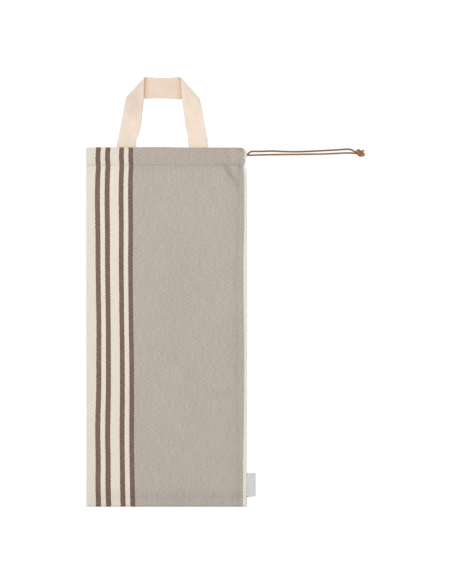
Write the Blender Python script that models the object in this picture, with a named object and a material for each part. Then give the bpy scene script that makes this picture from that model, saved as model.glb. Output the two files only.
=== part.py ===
"""A linen bread bag with a folded webbing handle and a drawstring, lying face up on a flat surface.

Lengths in the tables are millimetres; place() turns them into the scene's metres. "Across" runs from the
bag's folded left edge to its side seam, "up" from its bottom seam to its mouth, "high" off the surface.
The origin is on the surface, under the middle of the bag, handle and label together.
"""

import math
from collections import namedtuple

import bmesh
import bpy
from mathutils import Vector

MM = 0.001
GAP = 0.3  # air between two pieces that touch on the real bag

# ---- bag body -----------------------------------------------------------------------------------
BAG_WIDTH = 300.0
BAG_LENGTH = 672.0
CLOTH = 1.2  # one layer of the woven cloth
HEM_WALL = 2.2  # the two layers of the turned-in channel
HEM_DEPTH = 34.0
STITCH_LINE = BAG_LENGTH - HEM_DEPTH
SEAM_ALLOWANCE = 10.0  # sewn zone inside the side and bottom seams, four layers pressed together
EDGE_HEIGHT = 4.8  # how thick the flat bag is along its fold and its seams
HEM_EDGE_HEIGHT = 5.8
BODY_HEIGHT = 10.4  # and in the middle, where front and back lie apart
HEM_HEIGHT = 12.4
BODY_SHOULDER = 45.0  # width over which the front rises from an edge
HEM_SHOULDER = 30.0
EDGE_ROUND = 1.2
SEAM_GROOVE = 0.6  # depth of the line between front and back in the side seam
END_ROUND = 2.5
BACK_RIM_DROP = 1.0  # the back ends a little below the front at the mouth
STITCH_TROUGH = 0.6  # how deep the row of stitching pulls the front in
STITCH_TROUGH_WIDTH = 3.0
TURNED_EDGE = 0.6  # over which the channel's inner layer ends, inside the bag

EdgeRow = namedtuple("EdgeRow", "up inset")
SIDE_SEAM_EDGE = (  # how far the side seam lies inside the bag's nominal width
    EdgeRow(0.0, 0.6),
    EdgeRow(330.0, 0.0),
    EdgeRow(560.0, 0.5),
    EdgeRow(615.0, 0.9),
    EdgeRow(629.0, 2.4),
    EdgeRow(637.0, 5.0),
    EdgeRow(642.0, 4.8),
    EdgeRow(651.0, 2.8),
    EdgeRow(658.0, 2.6),
    EdgeRow(664.0, 3.7),
    EdgeRow(668.0, 5.4),
    EdgeRow(671.0, 8.0),
)
RimRow = namedtuple("RimRow", "across rise")
MOUTH_RIM = (  # how far the front's rim lies above or below the bag's nominal length
    RimRow(0.0, -2.2),
    RimRow(11.0, -0.3),
    RimRow(23.0, 0.6),
    RimRow(40.0, -0.2),
    RimRow(110.0, 0.3),
    RimRow(180.0, -0.2),
    RimRow(245.0, 0.1),
    RimRow(286.0, 0.0),
    RimRow(291.0, -0.9),
    RimRow(300.0, -1.6),
)
Band = namedtuple("Band", "start end step")
COLUMN_BANDS = (Band(0, 54, 9.0), Band(54, 222, 16.8), Band(222, 300, 6.5))  # faces across the bag
BOTTOM_ROWS = (0.0, 0.5, 1.3, END_ROUND)  # and up it: over the rounded bottom edge,
BODY_BANDS = (Band(9.0, 50.0, 10.0), Band(50.0, 560.0, 25.5), Band(560.0, STITCH_LINE - 8.0, 7.8))
STITCH_ROWS = tuple(STITCH_LINE + step for step in (-8.0, -4.0, -1.5, 0.0, 2.0))
CHANNEL_BAND = Band(STITCH_LINE + 5.0, BAG_LENGTH - HEM_WALL / 2, 5.3)
FOLD_ANGLES = (math.radians(18.0), math.radians(52.0))  # points round the folded left edge
EDGE_POINTS = 3  # points from the back, and from the front, to the middle of the side seam
Wave = namedtuple("Wave", "height across_length up_length phase")
SOFT_WAVES = (  # the slight unevenness of cloth that lies loose
    Wave(0.35, 210.0, 330.0, 0.4),
    Wave(0.25, -130.0, 190.0, 2.1),
    Wave(0.18, 95.0, 120.0, 4.0),
)
Crease = namedtuple("Crease", "across_from up_from across_to up_to half_width height")
DRAG_CREASES = (  # ridges and troughs that the drawstring pulls into the front near the mouth
    Crease(262.0, 662.0, 290.0, 606.0, 6.0, 0.9),
    Crease(272.0, 664.0, 293.0, 622.0, 4.5, -0.8),
    Crease(246.0, 664.0, 276.0, 596.0, 7.0, -0.6),
    Crease(226.0, 660.0, 254.0, 604.0, 9.0, 0.5),
    Crease(14.0, 655.0, 26.0, 606.0, 6.0, 0.4),
)

# ---- drawstring ---------------------------------------------------------------------------------
CORD_RADIUS = 1.5
EXIT_UP = 658.9  # middle of the hole in the side seam where both strands leave the channel
EXIT_HIGH = 5.3
EXIT_LENGTH = 8.4
EXIT_THICKNESS = 3.7
EXIT_DEPTH = 9.0
EXIT_RISE = 3.3  # how much thicker the seam is round that hole
EXIT_RISE_LENGTH = 12.0
RoutePoint = namedtuple("RoutePoint", "across up high")
UPPER_STRAND = (
    RoutePoint(289.8, 656.8, 5.3),
    RoutePoint(295.0, 656.8, 5.3),
    RoutePoint(298.5, 657.2, 5.7),
    RoutePoint(302.5, 658.9, 6.9),
    RoutePoint(306.5, 661.0, 7.3),
    RoutePoint(311.0, 662.9, 6.5),
    RoutePoint(317.0, 663.9, 4.8),
    RoutePoint(327.0, 664.6, 2.9),
    RoutePoint(341.0, 665.0, 1.7),
    RoutePoint(371.0, 663.6, 1.6),
    RoutePoint(396.0, 663.2, 1.6),
    RoutePoint(424.0, 664.3, 1.6),
    RoutePoint(448.0, 665.7, 1.6),
    RoutePoint(472.0, 667.0, 1.6),
    RoutePoint(488.0, 667.7, 2.0),
    RoutePoint(497.0, 666.7, 2.9),
    RoutePoint(503.0, 664.0, 3.8),
)
LOWER_STRAND = (
    RoutePoint(289.8, 661.0, 5.3),
    RoutePoint(295.0, 661.0, 5.2),
    RoutePoint(298.5, 660.6, 4.5),
    RoutePoint(302.5, 659.2, 3.1),
    RoutePoint(306.5, 658.0, 2.2),
    RoutePoint(311.0, 657.5, 1.8),
    RoutePoint(318.0, 657.4, 1.7),
    RoutePoint(351.0, 657.9, 1.6),
    RoutePoint(381.0, 658.3, 1.6),
    RoutePoint(412.0, 658.8, 1.6),
    RoutePoint(442.0, 659.6, 1.6),
    RoutePoint(472.0, 660.3, 1.6),
    RoutePoint(486.0, 660.4, 2.0),
    RoutePoint(496.0, 660.1, 3.0),
    RoutePoint(503.0, 660.0, 3.8),
)
CORD_STEP = 4.3  # between two points of a strand, about one and a half diameters

# the knot: two turns round the doubled cord, and its two cut ends
KNOT_ACROSS = 508.6
KNOT_UP = 661.1
KNOT_HIGH = 4.6
TURN_SPACING = 2.9
TURN_UP_RADIUS = 5.9
TURN_HIGH_RADIUS = 2.8
TURN_LEAN = math.radians(24.0)
TURN_POINTS = 28
KNOT_VOXEL = 0.62
CUT_ENDS = (  # each strand goes on through the knot and ends just past it
    (
        RoutePoint(503.6, 663.6, 4.0),
        RoutePoint(506.5, 662.6, 4.6),
        RoutePoint(510.5, 662.4, 4.7),
        RoutePoint(514.5, 663.2, 4.2),
        RoutePoint(517.4, 665.6, 3.0),
    ),
    (
        RoutePoint(503.6, 660.0, 4.0),
        RoutePoint(506.5, 659.8, 4.5),
        RoutePoint(511.0, 659.6, 4.6),
        RoutePoint(516.0, 660.2, 3.6),
        RoutePoint(518.8, 658.4, 2.4),
        RoutePoint(518.9, 655.8, 1.9),
    ),
)

# ---- handle -------------------------------------------------------------------------------------
STRAP = 1.7  # thickness of the webbing
CROSSPIECE_HIGH = STRAP / 2  # its middle layer where it crosses at the top, on the surface
LEG_HIGH = HEM_WALL + GAP + STRAP / 2  # and in the legs, on the back's hem and above the crosspiece
LEG_SAG = 0.8
FOLD_RADIUS = (LEG_HIGH - CROSSPIECE_HIGH) / 2
FOLD_OUTER = FOLD_RADIUS + STRAP / 2  # how far a fold stands out past its crease
FOLD_STEPS = 8
STRAP_COLUMNS = 4
LegRow = namedtuple("LegRow", "above outer inner")
LEFT_LEG = (  # heights above the mouth, and where the strap's two edges lie across the bag
    LegRow(-32.0, 49.5, 93.0),
    LegRow(0.0, 55.8, 93.4),
    LegRow(12.5, 58.9, 93.4),
    LegRow(17.0, 60.0, 95.0),
    LegRow(24.0, 61.3, 98.2),
    LegRow(38.0, 64.5, 102.0),
    LegRow(50.0, 66.9, 103.7),
    LegRow(68.0, 69.9, 105.4),
    LegRow(78.0, 71.5, 106.7),
    LegRow(86.0, 72.9, 107.5),
)
RIGHT_LEG = (
    LegRow(-32.0, 235.0, 195.8),
    LegRow(0.0, 228.3, 191.2),
    LegRow(12.5, 226.6, 189.8),
    LegRow(24.0, 224.0, 188.6),
    LegRow(38.0, 221.6, 186.0),
    LegRow(50.0, 219.2, 184.0),
    LegRow(68.0, 216.3, 181.7),
    LegRow(77.0, 214.5, 180.2),
    LegRow(84.0, 213.0, 179.2),
)
Corner = namedtuple("Corner", "across above")
LEFT_CREASE = (Corner(74.0, 93.0), Corner(108.6, 130.6))  # outer and inner end of each diagonal fold
RIGHT_CREASE = (Corner(212.0, 90.6), Corner(176.2, 130.4))
CrossRow = namedtuple("CrossRow", "across bottom top")
CROSSPIECE = (  # the strap's edges between the two folds, above the mouth
    CrossRow(113.0, 89.7, 130.7),
    CrossRow(121.0, 90.2, 130.0),
    CrossRow(132.0, 90.8, 129.2),
    CrossRow(143.0, 90.4, 128.9),
    CrossRow(154.0, 90.2, 129.1),
    CrossRow(165.0, 89.5, 129.9),
    CrossRow(172.0, 88.5, 130.5),
)
HANDLE_TOP = 131.0

# ---- side label ---------------------------------------------------------------------------------
LABEL_PROUD = 16.5
LABEL_TUCK = 3.4  # how deep its two cut ends sit in the seam
LABEL_BOTTOM = 18.8
LABEL_TOP = 63.6
LABEL_SLANT = 1.9  # how much higher the lower edge lies at the fold
LABEL_LAYER = 0.75
LABEL_PARTING = 0.4
LABEL_DROOP = 1.2
LABEL_SLOT_DEPTH = 4.0
LABEL_HIGH = EDGE_HEIGHT / 2
LABEL_FOLD_STEPS = 6

SEAM_AT_LABEL = BAG_WIDTH - 0.5
WHOLE_WIDTH = SEAM_AT_LABEL + LABEL_PROUD
WHOLE_LENGTH = BAG_LENGTH + HANDLE_TOP


# ---- helpers ------------------------------------------------------------------------------------
def place(across, up, high):
    """A point of the bag in the scene's metres, measured from the middle of its outline."""
    return Vector((across - WHOLE_WIDTH / 2, up - WHOLE_LENGTH / 2, high)) * MM


def mix(a, b, share):
    return a + (b - a) * share


def smooth_step(value, start, end):
    share = min(max((value - start) / (end - start), 0.0), 1.0)
    return share * share * (3.0 - 2.0 * share)


def dome(share):
    """0 at an edge, 1 from the shoulder on, with a level top."""
    return math.sin(0.5 * math.pi * min(max(share, 0.0), 1.0))


def table_value(table, at):
    """The second column of a table at a value of its first, on one smooth curve through the rows."""
    xs = [row[0] for row in table]
    ys = [row[1] for row in table]
    if at <= xs[0]:
        return ys[0]
    if at >= xs[-1]:
        return ys[-1]
    k = next(i for i in range(len(xs) - 1) if at <= xs[i + 1])

    def slope(i):
        low, high = max(i - 1, 0), min(i + 1, len(xs) - 1)
        return (ys[high] - ys[low]) / (xs[high] - xs[low])

    step = xs[k + 1] - xs[k]
    t = (at - xs[k]) / step
    return (
        (2 * t**3 - 3 * t**2 + 1) * ys[k]
        + (t**3 - 2 * t**2 + t) * step * slope(k)
        + (3 * t**2 - 2 * t**3) * ys[k + 1]
        + (t**3 - t**2) * step * slope(k + 1)
    )


def spaced(start, end, step):
    """Even values from start up to, but without, end."""
    count = max(1, round((end - start) / step))
    return [mix(start, end, i / count) for i in range(count)]


def banded(bands):
    return [value for band in bands for value in spaced(*band)]


def smooth_route(points, step):
    """Points about a step apart on one smooth curve through a route's own points."""
    ends = [2 * Vector(points[0]) - Vector(points[1])]
    knots = ends + [Vector(p) for p in points] + [2 * Vector(points[-1]) - Vector(points[-2])]
    fine = []
    for before, start, end, after in zip(knots, knots[1:], knots[2:], knots[3:]):
        pieces = max(2, round((end - start).length / 1.0))
        for i in range(pieces):
            t = i / pieces
            fine.append(
                0.5
                * (
                    2 * start
                    + (end - before) * t
                    + (2 * before - 5 * start + 4 * end - after) * t**2
                    + (3 * start - before - 3 * end + after) * t**3
                )
            )
    fine.append(knots[-2])
    total = sum((b - a).length for a, b in zip(fine, fine[1:]))
    spacing = total / max(2, round(total / step))
    route, walked = [fine[0]], 0.0
    for a, b in zip(fine, fine[1:]):
        length = (b - a).length
        while walked + length >= spacing * len(route) and len(route) * spacing < total - 0.01:
            route.append(a.lerp(b, (spacing * len(route) - walked) / length))
        walked += length
    route.append(fine[-1])
    return route


def material(name, colour, roughness):
    made = bpy.data.materials.new(name)
    made.use_nodes = True
    shader = made.node_tree.nodes["Principled BSDF"]
    shader.inputs["Base Color"].default_value = (*colour, 1.0)
    shader.inputs["Roughness"].default_value = roughness
    shader.inputs["Metallic"].default_value = 0.0
    return made


def link_mesh(name, mesh, finish=None, smooth=True):
    made = bpy.data.objects.new(name, mesh)
    bpy.context.scene.collection.objects.link(made)
    if smooth:
        mesh.shade_smooth()
        mesh.set_sharp_from_angle(angle=math.radians(40.0))
    if finish:
        mesh.materials.append(finish)
    return made


def mesh_of(name, points, faces):
    mesh = bpy.data.meshes.new(name)
    build = bmesh.new()
    corners = [build.verts.new(place(*point)) for point in points]
    for face in faces:
        build.faces.new([corners[i] for i in face])
    bmesh.ops.recalc_face_normals(build, faces=build.faces)
    build.to_mesh(mesh)
    build.free()
    return mesh


def hide_helper(helper):
    helper.hide_render = True
    helper.display_type = "WIRE"


def cut(target, cutter):
    hide_helper(cutter)
    boolean = target.modifiers.new("Cut " + cutter.name, "BOOLEAN")
    boolean.operation = "DIFFERENCE"
    boolean.solver = "EXACT"
    boolean.object = cutter


# ---- bag body -----------------------------------------------------------------------------------
def hem_share(up):
    """0 in the body of the bag, 1 in the channel at its mouth."""
    return smooth_step(up, STITCH_LINE - 16.0, STITCH_LINE + 6.0)


def wall(up):
    return HEM_WALL if up >= STITCH_LINE else CLOTH


def seam_across(up):
    return BAG_WIDTH - table_value(SIDE_SEAM_EDGE, up)


def seam_height(up):
    """Thickness of the closed bag at its side seam, larger round the hole for the drawstring."""
    swell = math.exp(-(((up - EXIT_UP) / EXIT_RISE_LENGTH) ** 2))
    return mix(EDGE_HEIGHT, HEM_EDGE_HEIGHT, hem_share(up)) + EXIT_RISE * swell


def fold_height(up):
    return mix(EDGE_HEIGHT, HEM_EDGE_HEIGHT, hem_share(up))


def corner_inset(up):
    """The small rounding of the two bottom corners."""
    rest = max(0.0, END_ROUND - up)
    return END_ROUND - math.sqrt(END_ROUND**2 - rest**2)


def crease_height(across, up):
    total = 0.0
    here = Vector((across, up))
    for row in DRAG_CREASES:
        start = Vector((row.across_from, row.up_from))
        along = Vector((row.across_to, row.up_to)) - start
        share = (here - start).dot(along) / along.length_squared
        near = start + along * min(max(share, 0.0), 1.0)
        taper = math.sin(math.pi * min(max(share, 0.0), 1.0)) ** 0.5 if 0 < share < 1 else 0.0
        total += row.height * taper * math.exp(-(((here - near).length / row.half_width) ** 2))
    return total


def wave_height(across, up):
    return sum(
        w.height * math.sin(2 * math.pi * (across / w.across_length + up / w.up_length) + w.phase)
        for w in SOFT_WAVES
    )


def front_height(across, up):
    """How high the outer face of the front lies off the surface."""
    hem = hem_share(up)
    start = fold_height(up) / 2
    end = seam_across(up) - EDGE_ROUND
    shoulder = mix(BODY_SHOULDER, HEM_SHOULDER, hem)
    rise = dome(min(across - start, end - across) / shoulder) * dome(up / BODY_SHOULDER)
    edge = mix(fold_height(up), seam_height(up), smooth_step(across, 200.0, end))
    crown = mix(BODY_HEIGHT, HEM_HEIGHT, hem)
    pull = STITCH_TROUGH * math.exp(-(((up - STITCH_LINE) / STITCH_TROUGH_WIDTH) ** 2))
    loose = wave_height(across, up) * (1.0 - 0.8 * hem) + crease_height(across, up) - pull
    return edge + (crown - edge + loose) * rise


def column_shares():
    """Where the columns of faces stand between fold and seam: closer together near both."""
    return [value / BAG_WIDTH for value in banded(COLUMN_BANDS) + [BAG_WIDTH]]


def body_rows():
    rows = list(BOTTOM_ROWS) + banded(BODY_BANDS) + list(STITCH_ROWS)
    return rows + banded([CHANNEL_BAND]) + [CHANNEL_BAND.end]


def inner_rows(rows):
    """The inside needs fewer rows in the body of the bag, and all of them in the channel."""
    body = [row for row in rows if SEAM_ALLOWANCE + 8.0 < row < STITCH_LINE - 4.0]
    return body[::2] + [row for row in rows if row >= STITCH_LINE]


def with_rim(ring, up):
    """Gives each point of a ring its place up the bag, which follows the mouth's slightly wavy rim."""
    share = smooth_step(up, STITCH_LINE, CHANNEL_BAND.end)
    return [
        [(a, up + share * (table_value(MOUTH_RIM, a) - drop), z) for a, z in side]
        for side, drop in zip(ring, (BACK_RIM_DROP, 0.0))
    ]


def outer_ring(up, shares):
    """The bag's outer outline at one height: fold, back, seam and front, as (across, high) points."""
    left = corner_inset(up)
    right = seam_across(up) - corner_inset(up)
    radius = fold_height(up) / 2
    seam = seam_height(up)
    flat = [mix(left + radius, right - EDGE_ROUND, share) for share in shares]
    corner = EDGE_ROUND * (1 - math.sqrt(0.5))
    fold = [
        (left + radius - radius * math.cos(angle), radius - radius * math.sin(angle))
        for angle in FOLD_ANGLES
    ]
    edge = [(right - corner, corner), (right, EDGE_ROUND), (right - SEAM_GROOVE, seam / 2 - 0.2)]
    lower = fold + [(across, 0.0) for across in flat] + edge
    upper = (
        [(across, 2 * radius - high) for across, high in fold]
        + [(across, front_height(across, up)) for across in flat]
        + [(right - corner, seam - corner), (right, seam - EDGE_ROUND)]
        + [(right - SEAM_GROOVE, seam / 2 + 0.2)]
    )
    return lower, upper


def inner_ring(up, layers, shares):
    """The same outline on the inside, a wall's thickness in, and clear of the sewn side seam."""
    radius = fold_height(up) / 2
    inner = radius - layers
    right = seam_across(up) - SEAM_ALLOWANCE
    flat = [mix(radius, right, share) for share in shares]
    fold = [(radius - inner * math.cos(angle), inner * math.sin(angle)) for angle in FOLD_ANGLES]
    low, top = layers, front_height(right, up) - layers
    climb = [0.4 * (i + 1) / EDGE_POINTS for i in range(EDGE_POINTS)]
    lower = [(a, radius - z) for a, z in fold] + [(a, low) for a in flat]
    upper = [(a, radius + z) for a, z in fold] + [(a, front_height(a, up) - layers) for a in flat]
    lower += [(right + share, mix(low, top, share)) for share in climb]
    upper += [(right + share, mix(top, low, share)) for share in climb]
    return lower, upper


def flattened(ring, up):
    """Draws front and back together over the rounded bottom edge."""
    rest = max(0.0, 1.0 - up / END_ROUND)
    share = max(0.35, math.sqrt(1.0 - rest * rest))
    return [[(a, mix(EDGE_HEIGHT / 2, z, share)) for a, z in side] for side in ring]


def body_layers():
    """Every ring of the pouch in turn: up the outside, over the rim and down the inside."""
    shares = column_shares()
    rows = body_rows()
    layers = []
    for up in rows:
        layers.append(with_rim(flattened(outer_ring(up, shares), up), up))
    outer_top = layers[-1]
    inside = []
    for up in [SEAM_ALLOWANCE] + inner_rows(rows):
        steps = [(up, wall(up))] if up != STITCH_LINE else [(up - TURNED_EDGE, CLOTH), (up, HEM_WALL)]
        for at, layers_here in steps:
            inside.append(with_rim(inner_ring(at, layers_here, shares), at))
    inner_top = inside[-1]
    turn = HEM_WALL / 2
    for share, lift in ((0.15, 0.7 * turn), (0.5, turn), (0.85, 0.7 * turn)):
        layers.append(
            [
                [
                    (mix(o[0], i[0], share), mix(o[1], i[1], share) + lift, mix(o[2], i[2], share))
                    for o, i in zip(outer_side, inner_side)
                ]
                for outer_side, inner_side in zip(outer_top, inner_top)
            ]
        )
    return layers + inside[::-1]


def make_body(finish):
    layers = body_layers()
    half = len(layers[0][0])
    points, faces = [], []
    for lower, upper in layers:
        points += lower + upper[::-1]
    ring = 2 * half
    for k in range(len(layers) - 1):
        for i in range(ring):
            j = (i + 1) % ring
            faces.append((k * ring + i, k * ring + j, (k + 1) * ring + j, (k + 1) * ring + i))
    for start in (0, (len(layers) - 1) * ring):
        for i in range(half - 1):
            faces.append((start + i, start + i + 1, start + ring - 2 - i, start + ring - 1 - i))
    body = link_mesh("bag_body", mesh_of("bag_body", points, faces), finish)
    cut(body, make_exit_cutter())
    cut(body, make_label_cutter())
    return body


def prism_along_across(name, outline, start, end):
    """A solid with an (up, high) outline, drawn from one place across the bag to another."""
    count = len(outline)
    points = [(start, up, high) for up, high in outline] + [(end, up, high) for up, high in outline]
    faces = [(i, (i + 1) % count, count + (i + 1) % count, count + i) for i in range(count)]
    faces += [tuple(range(count)), tuple(range(count, 2 * count))]
    return link_mesh(name, mesh_of(name, points, faces), smooth=False)


def make_exit_cutter():
    radius = EXIT_THICKNESS / 2
    straight = EXIT_LENGTH / 2 - radius
    outline = []
    for side in (1, -1):
        for k in range(7):
            angle = side * math.pi / 2 - side * math.pi * k / 6
            outline.append(
                (
                    EXIT_UP + side * (straight + radius * math.cos(angle)),
                    EXIT_HIGH + radius * math.sin(angle),
                )
            )
    seam = seam_across(EXIT_UP)
    return prism_along_across("exit_cutter", outline, seam - EXIT_DEPTH, seam + 6.0)


def make_label_cutter():
    reach = LABEL_LAYER + LABEL_PARTING / 2 + GAP
    low, high = LABEL_BOTTOM - GAP, LABEL_TOP + GAP
    outline = [(low, LABEL_HIGH - reach), (high, LABEL_HIGH - reach)]
    outline += [(high, LABEL_HIGH + reach), (low, LABEL_HIGH + reach)]
    return prism_along_across("label_cutter", outline, SEAM_AT_LABEL - LABEL_SLOT_DEPTH, SEAM_AT_LABEL + 6.0)


# ---- handle -------------------------------------------------------------------------------------
Rung = namedtuple("Rung", "one two facing")  # the strap's two edges, and the way its upper face looks


def leg_high(above):
    """The legs dip a little between the mouth and their fold."""
    share = min(max(above / 90.0, 0.0), 1.0)
    return LEG_HIGH - LEG_SAG * math.sin(math.pi * share)


def crease_line(crease, centre):
    """Both ends of a fold's crease, drawn in so that the turn round it ends at the drawn outline."""
    outer, inner = (Vector((c.across, BAG_LENGTH + c.above)) for c in crease)
    along = (inner - outer).normalized()
    away = Vector((-along.y, along.x))
    if away.dot(outer - centre) < 0:
        away = -away
    return outer - away * FOLD_OUTER, inner - away * FOLD_OUTER, away


def leg_rungs(leg):
    return [
        Rung(
            Vector((row.outer, BAG_LENGTH + row.above, leg_high(row.above))),
            Vector((row.inner, BAG_LENGTH + row.above, leg_high(row.above))),
            Vector((0.0, 0.0, 1.0)),
        )
        for row in leg
    ]


def fold_rungs(crease, centre):
    """Half a turn round a crease, from the leg on top to the crosspiece under it."""
    outer, inner, away = crease_line(crease, centre)
    along = (inner - outer).normalized()
    creep = along.y / away.y  # the strap meets its crease at a slant, so it creeps along as it turns
    rungs = []
    for k in range(FOLD_STEPS + 1):
        angle = math.pi * (0.5 - k / FOLD_STEPS)
        out = Vector((away.x * math.cos(angle), away.y * math.cos(angle), math.sin(angle)))
        middle = Vector((0.0, 0.0, CROSSPIECE_HIGH + FOLD_RADIUS)) + out * FOLD_RADIUS
        middle -= along.to_3d() * creep * FOLD_RADIUS * angle
        rungs.append(Rung(outer.to_3d() + middle, inner.to_3d() + middle, out))
    return rungs


def between(start, end, steps):
    """Rungs that turn evenly from one to another, without the two given."""
    return [
        Rung(start.one.lerp(end.one, k / steps), start.two.lerp(end.two, k / steps), start.facing)
        for k in range(1, steps)
    ]


def cross_rungs():
    under = Vector((0.0, 0.0, -1.0))
    return [
        Rung(
            Vector((row.across, BAG_LENGTH + row.bottom, CROSSPIECE_HIGH)),
            Vector((row.across, BAG_LENGTH + row.top, CROSSPIECE_HIGH)),
            under,
        )
        for row in CROSSPIECE
    ]


def strap_rungs():
    """The whole strap in order: left leg, left fold, crosspiece, right fold, right leg."""
    centre = Vector((BAG_WIDTH / 2, BAG_LENGTH + HANDLE_TOP / 2))
    left, right = leg_rungs(LEFT_LEG), leg_rungs(RIGHT_LEG)
    left_fold, right_fold = fold_rungs(LEFT_CREASE, centre), fold_rungs(RIGHT_CREASE, centre)
    middle = cross_rungs()
    return (
        left
        + between(left[-1], left_fold[0], 5)
        + left_fold
        + between(left_fold[-1], middle[0], 5)
        + middle
        + between(middle[-1], right_fold[-1], 5)
        + right_fold[::-1]
        + between(right_fold[0], right[-1], 5)
        + right[::-1]
    )


def make_handle(finish):
    points, faces = [], []
    rungs = strap_rungs()
    columns = STRAP_COLUMNS + 1
    for rung in rungs:
        edge = [rung.one.lerp(rung.two, i / STRAP_COLUMNS) for i in range(columns)]
        half = rung.facing * STRAP / 2
        points += [tuple(point + half) for point in edge]
        points += [tuple(point - half) for point in edge[::-1]]
    ring = 2 * columns
    for k in range(len(rungs) - 1):
        for i in range(ring):
            j = (i + 1) % ring
            faces.append((k * ring + i, k * ring + j, (k + 1) * ring + j, (k + 1) * ring + i))
    for start in (0, (len(rungs) - 1) * ring):
        for i in range(columns - 1):
            faces.append((start + i, start + i + 1, start + ring - 2 - i, start + ring - 1 - i))
    return link_mesh("handle_strap", mesh_of("handle_strap", points, faces), finish)


# ---- drawstring ---------------------------------------------------------------------------------
def make_strand(name, route, finish):
    """One strand: a round cord along a smooth curve through its route."""
    curve = bpy.data.curves.new(name, "CURVE")
    curve.dimensions = "3D"
    curve.bevel_depth = CORD_RADIUS * MM
    curve.bevel_resolution = 2
    curve.use_fill_caps = True
    spline = curve.splines.new("POLY")
    points = smooth_route(route, CORD_STEP)
    spline.points.add(len(points) - 1)
    for point, at in zip(spline.points, points):
        point.co = (*place(*at), 1.0)
    curve.materials.append(finish)
    strand = bpy.data.objects.new(name, curve)
    bpy.context.scene.collection.objects.link(strand)
    return strand


def tube_parts(path, closed, sides=10):
    """Points and faces of a round tube along a path, with flat ends unless the path is closed."""
    points, faces = [], []
    count = len(path)
    for k, at in enumerate(path):
        ahead = path[(k + 1) % count] if closed or k + 1 < count else at
        behind = path[k - 1] if closed or k > 0 else at
        along = (ahead - behind).normalized()
        side = along.cross(Vector((0.31, 0.17, 0.93))).normalized()
        over = side.cross(along)
        for i in range(sides):
            angle = 2 * math.pi * i / sides
            points.append(tuple(at + (side * math.cos(angle) + over * math.sin(angle)) * CORD_RADIUS))
    for k in range(count if closed else count - 1):
        after = (k + 1) % count
        for i in range(sides):
            j = (i + 1) % sides
            faces.append((k * sides + i, k * sides + j, after * sides + j, after * sides + i))
    if not closed:
        faces.append(tuple(range(sides)))
        faces.append(tuple(range((count - 1) * sides, count * sides)))
    return points, faces


def knot_turn(shift):
    """One turn of the knot: an upright oval round the doubled cord, leaning across it."""
    path = []
    for k in range(TURN_POINTS):
        angle = 2 * math.pi * k / TURN_POINTS
        reach = TURN_UP_RADIUS * math.cos(angle)
        lift = TURN_HIGH_RADIUS * math.sin(angle)
        lean = -math.tan(TURN_LEAN) * reach * 0.5 * (1 + math.sin(angle))
        path.append(Vector((KNOT_ACROSS + shift + lean, KNOT_UP + reach, KNOT_HIGH + lift)))
    return path


def make_knot(finish):
    """The two turns and the two ends, grown together into one solid."""
    points, faces = [], []
    tubes = [(knot_turn(side * TURN_SPACING / 2), True) for side in (-1, 1)]
    tubes += [(smooth_route(end, 1.2), False) for end in CUT_ENDS]
    for path, closed in tubes:
        more_points, more_faces = tube_parts(path, closed)
        faces += [tuple(i + len(points) for i in face) for face in more_faces]
        points += more_points
    knot = link_mesh("drawstring_knot", mesh_of("drawstring_knot", points, faces), finish)
    remesh = knot.modifiers.new("Grow together", "REMESH")
    remesh.mode = "VOXEL"
    remesh.voxel_size = KNOT_VOXEL * MM
    remesh.use_smooth_shade = True
    thin = knot.modifiers.new("Fewer faces", "DECIMATE")
    thin.ratio = 0.5
    return knot


# ---- side label ---------------------------------------------------------------------------------
def label_profile():
    """Half of the folded label in section, from its cut ends to its fold: (across, reach) points."""
    outer = LABEL_LAYER + LABEL_PARTING / 2
    start, end = SEAM_AT_LABEL - LABEL_TUCK, SEAM_AT_LABEL + LABEL_PROUD
    across = spaced(start, end - outer, 4.0) + [end - outer]
    angles = [math.pi / 2 * k / LABEL_FOLD_STEPS for k in range(1, LABEL_FOLD_STEPS)]
    outside = [(a, outer) for a in across]
    outside += [(end - outer + outer * math.sin(t), outer * math.cos(t)) for t in angles]
    inside = [(a, LABEL_PARTING / 2) for a in across]
    inner = LABEL_PARTING / 2
    inside += [(end - outer + inner * math.sin(t), inner * math.cos(t)) for t in angles]
    return outside, inside, end


def label_high(across):
    """The label sinks a little towards the surface past the seam."""
    share = min(max((across - SEAM_AT_LABEL) / LABEL_PROUD, 0.0), 1.0)
    return LABEL_HIGH - LABEL_DROOP * share * share


def make_label(finish):
    outside, inside, end = label_profile()
    tip = end - LABEL_LAYER
    section = [(a, z) for a, z in outside] + [(end, 0.0)] + [(a, -z) for a, z in outside[::-1]]
    section += [(a, -z) for a, z in inside] + [(tip, 0.0)] + [(a, z) for a, z in inside[::-1]]
    count = len(section)
    points, faces = [], []
    for is_top in (False, True):
        for across, reach in section:
            share = min(max((across - SEAM_AT_LABEL) / LABEL_PROUD, 0.0), 1.0)
            up = LABEL_TOP if is_top else LABEL_BOTTOM + LABEL_SLANT * share
            points.append((across, up, label_high(across) + reach))
    for i in range(count):
        j = (i + 1) % count
        faces.append((i, j, count + j, count + i))
    half = len(outside)
    for start in (0, count):
        # the strip between the outer and the inner face, all the way round the fold
        outer_line = list(range(start, start + 2 * half + 1))
        inner_line = list(range(start + 2 * half + 1, start + count))[::-1]
        for i in range(2 * half):
            faces.append((outer_line[i], outer_line[i + 1], inner_line[i + 1], inner_line[i]))
    return link_mesh("side_label", mesh_of("side_label", points, faces), finish)


def main():
    for old in list(bpy.data.objects):
        bpy.data.objects.remove(old, do_unlink=True)
    bpy.context.scene.unit_settings.scale_length = 1.0
    cord = material("tan cord", (0.36, 0.21, 0.12), 0.6)
    make_body(material("taupe linen", (0.46, 0.40, 0.35), 0.9))
    make_handle(material("natural webbing", (0.85, 0.71, 0.59), 0.85))
    make_strand("drawstring_upper", UPPER_STRAND, cord)
    make_strand("drawstring_lower", LOWER_STRAND, cord)
    make_knot(cord)
    make_label(material("label tape", (0.67, 0.63, 0.64), 0.7))


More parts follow.
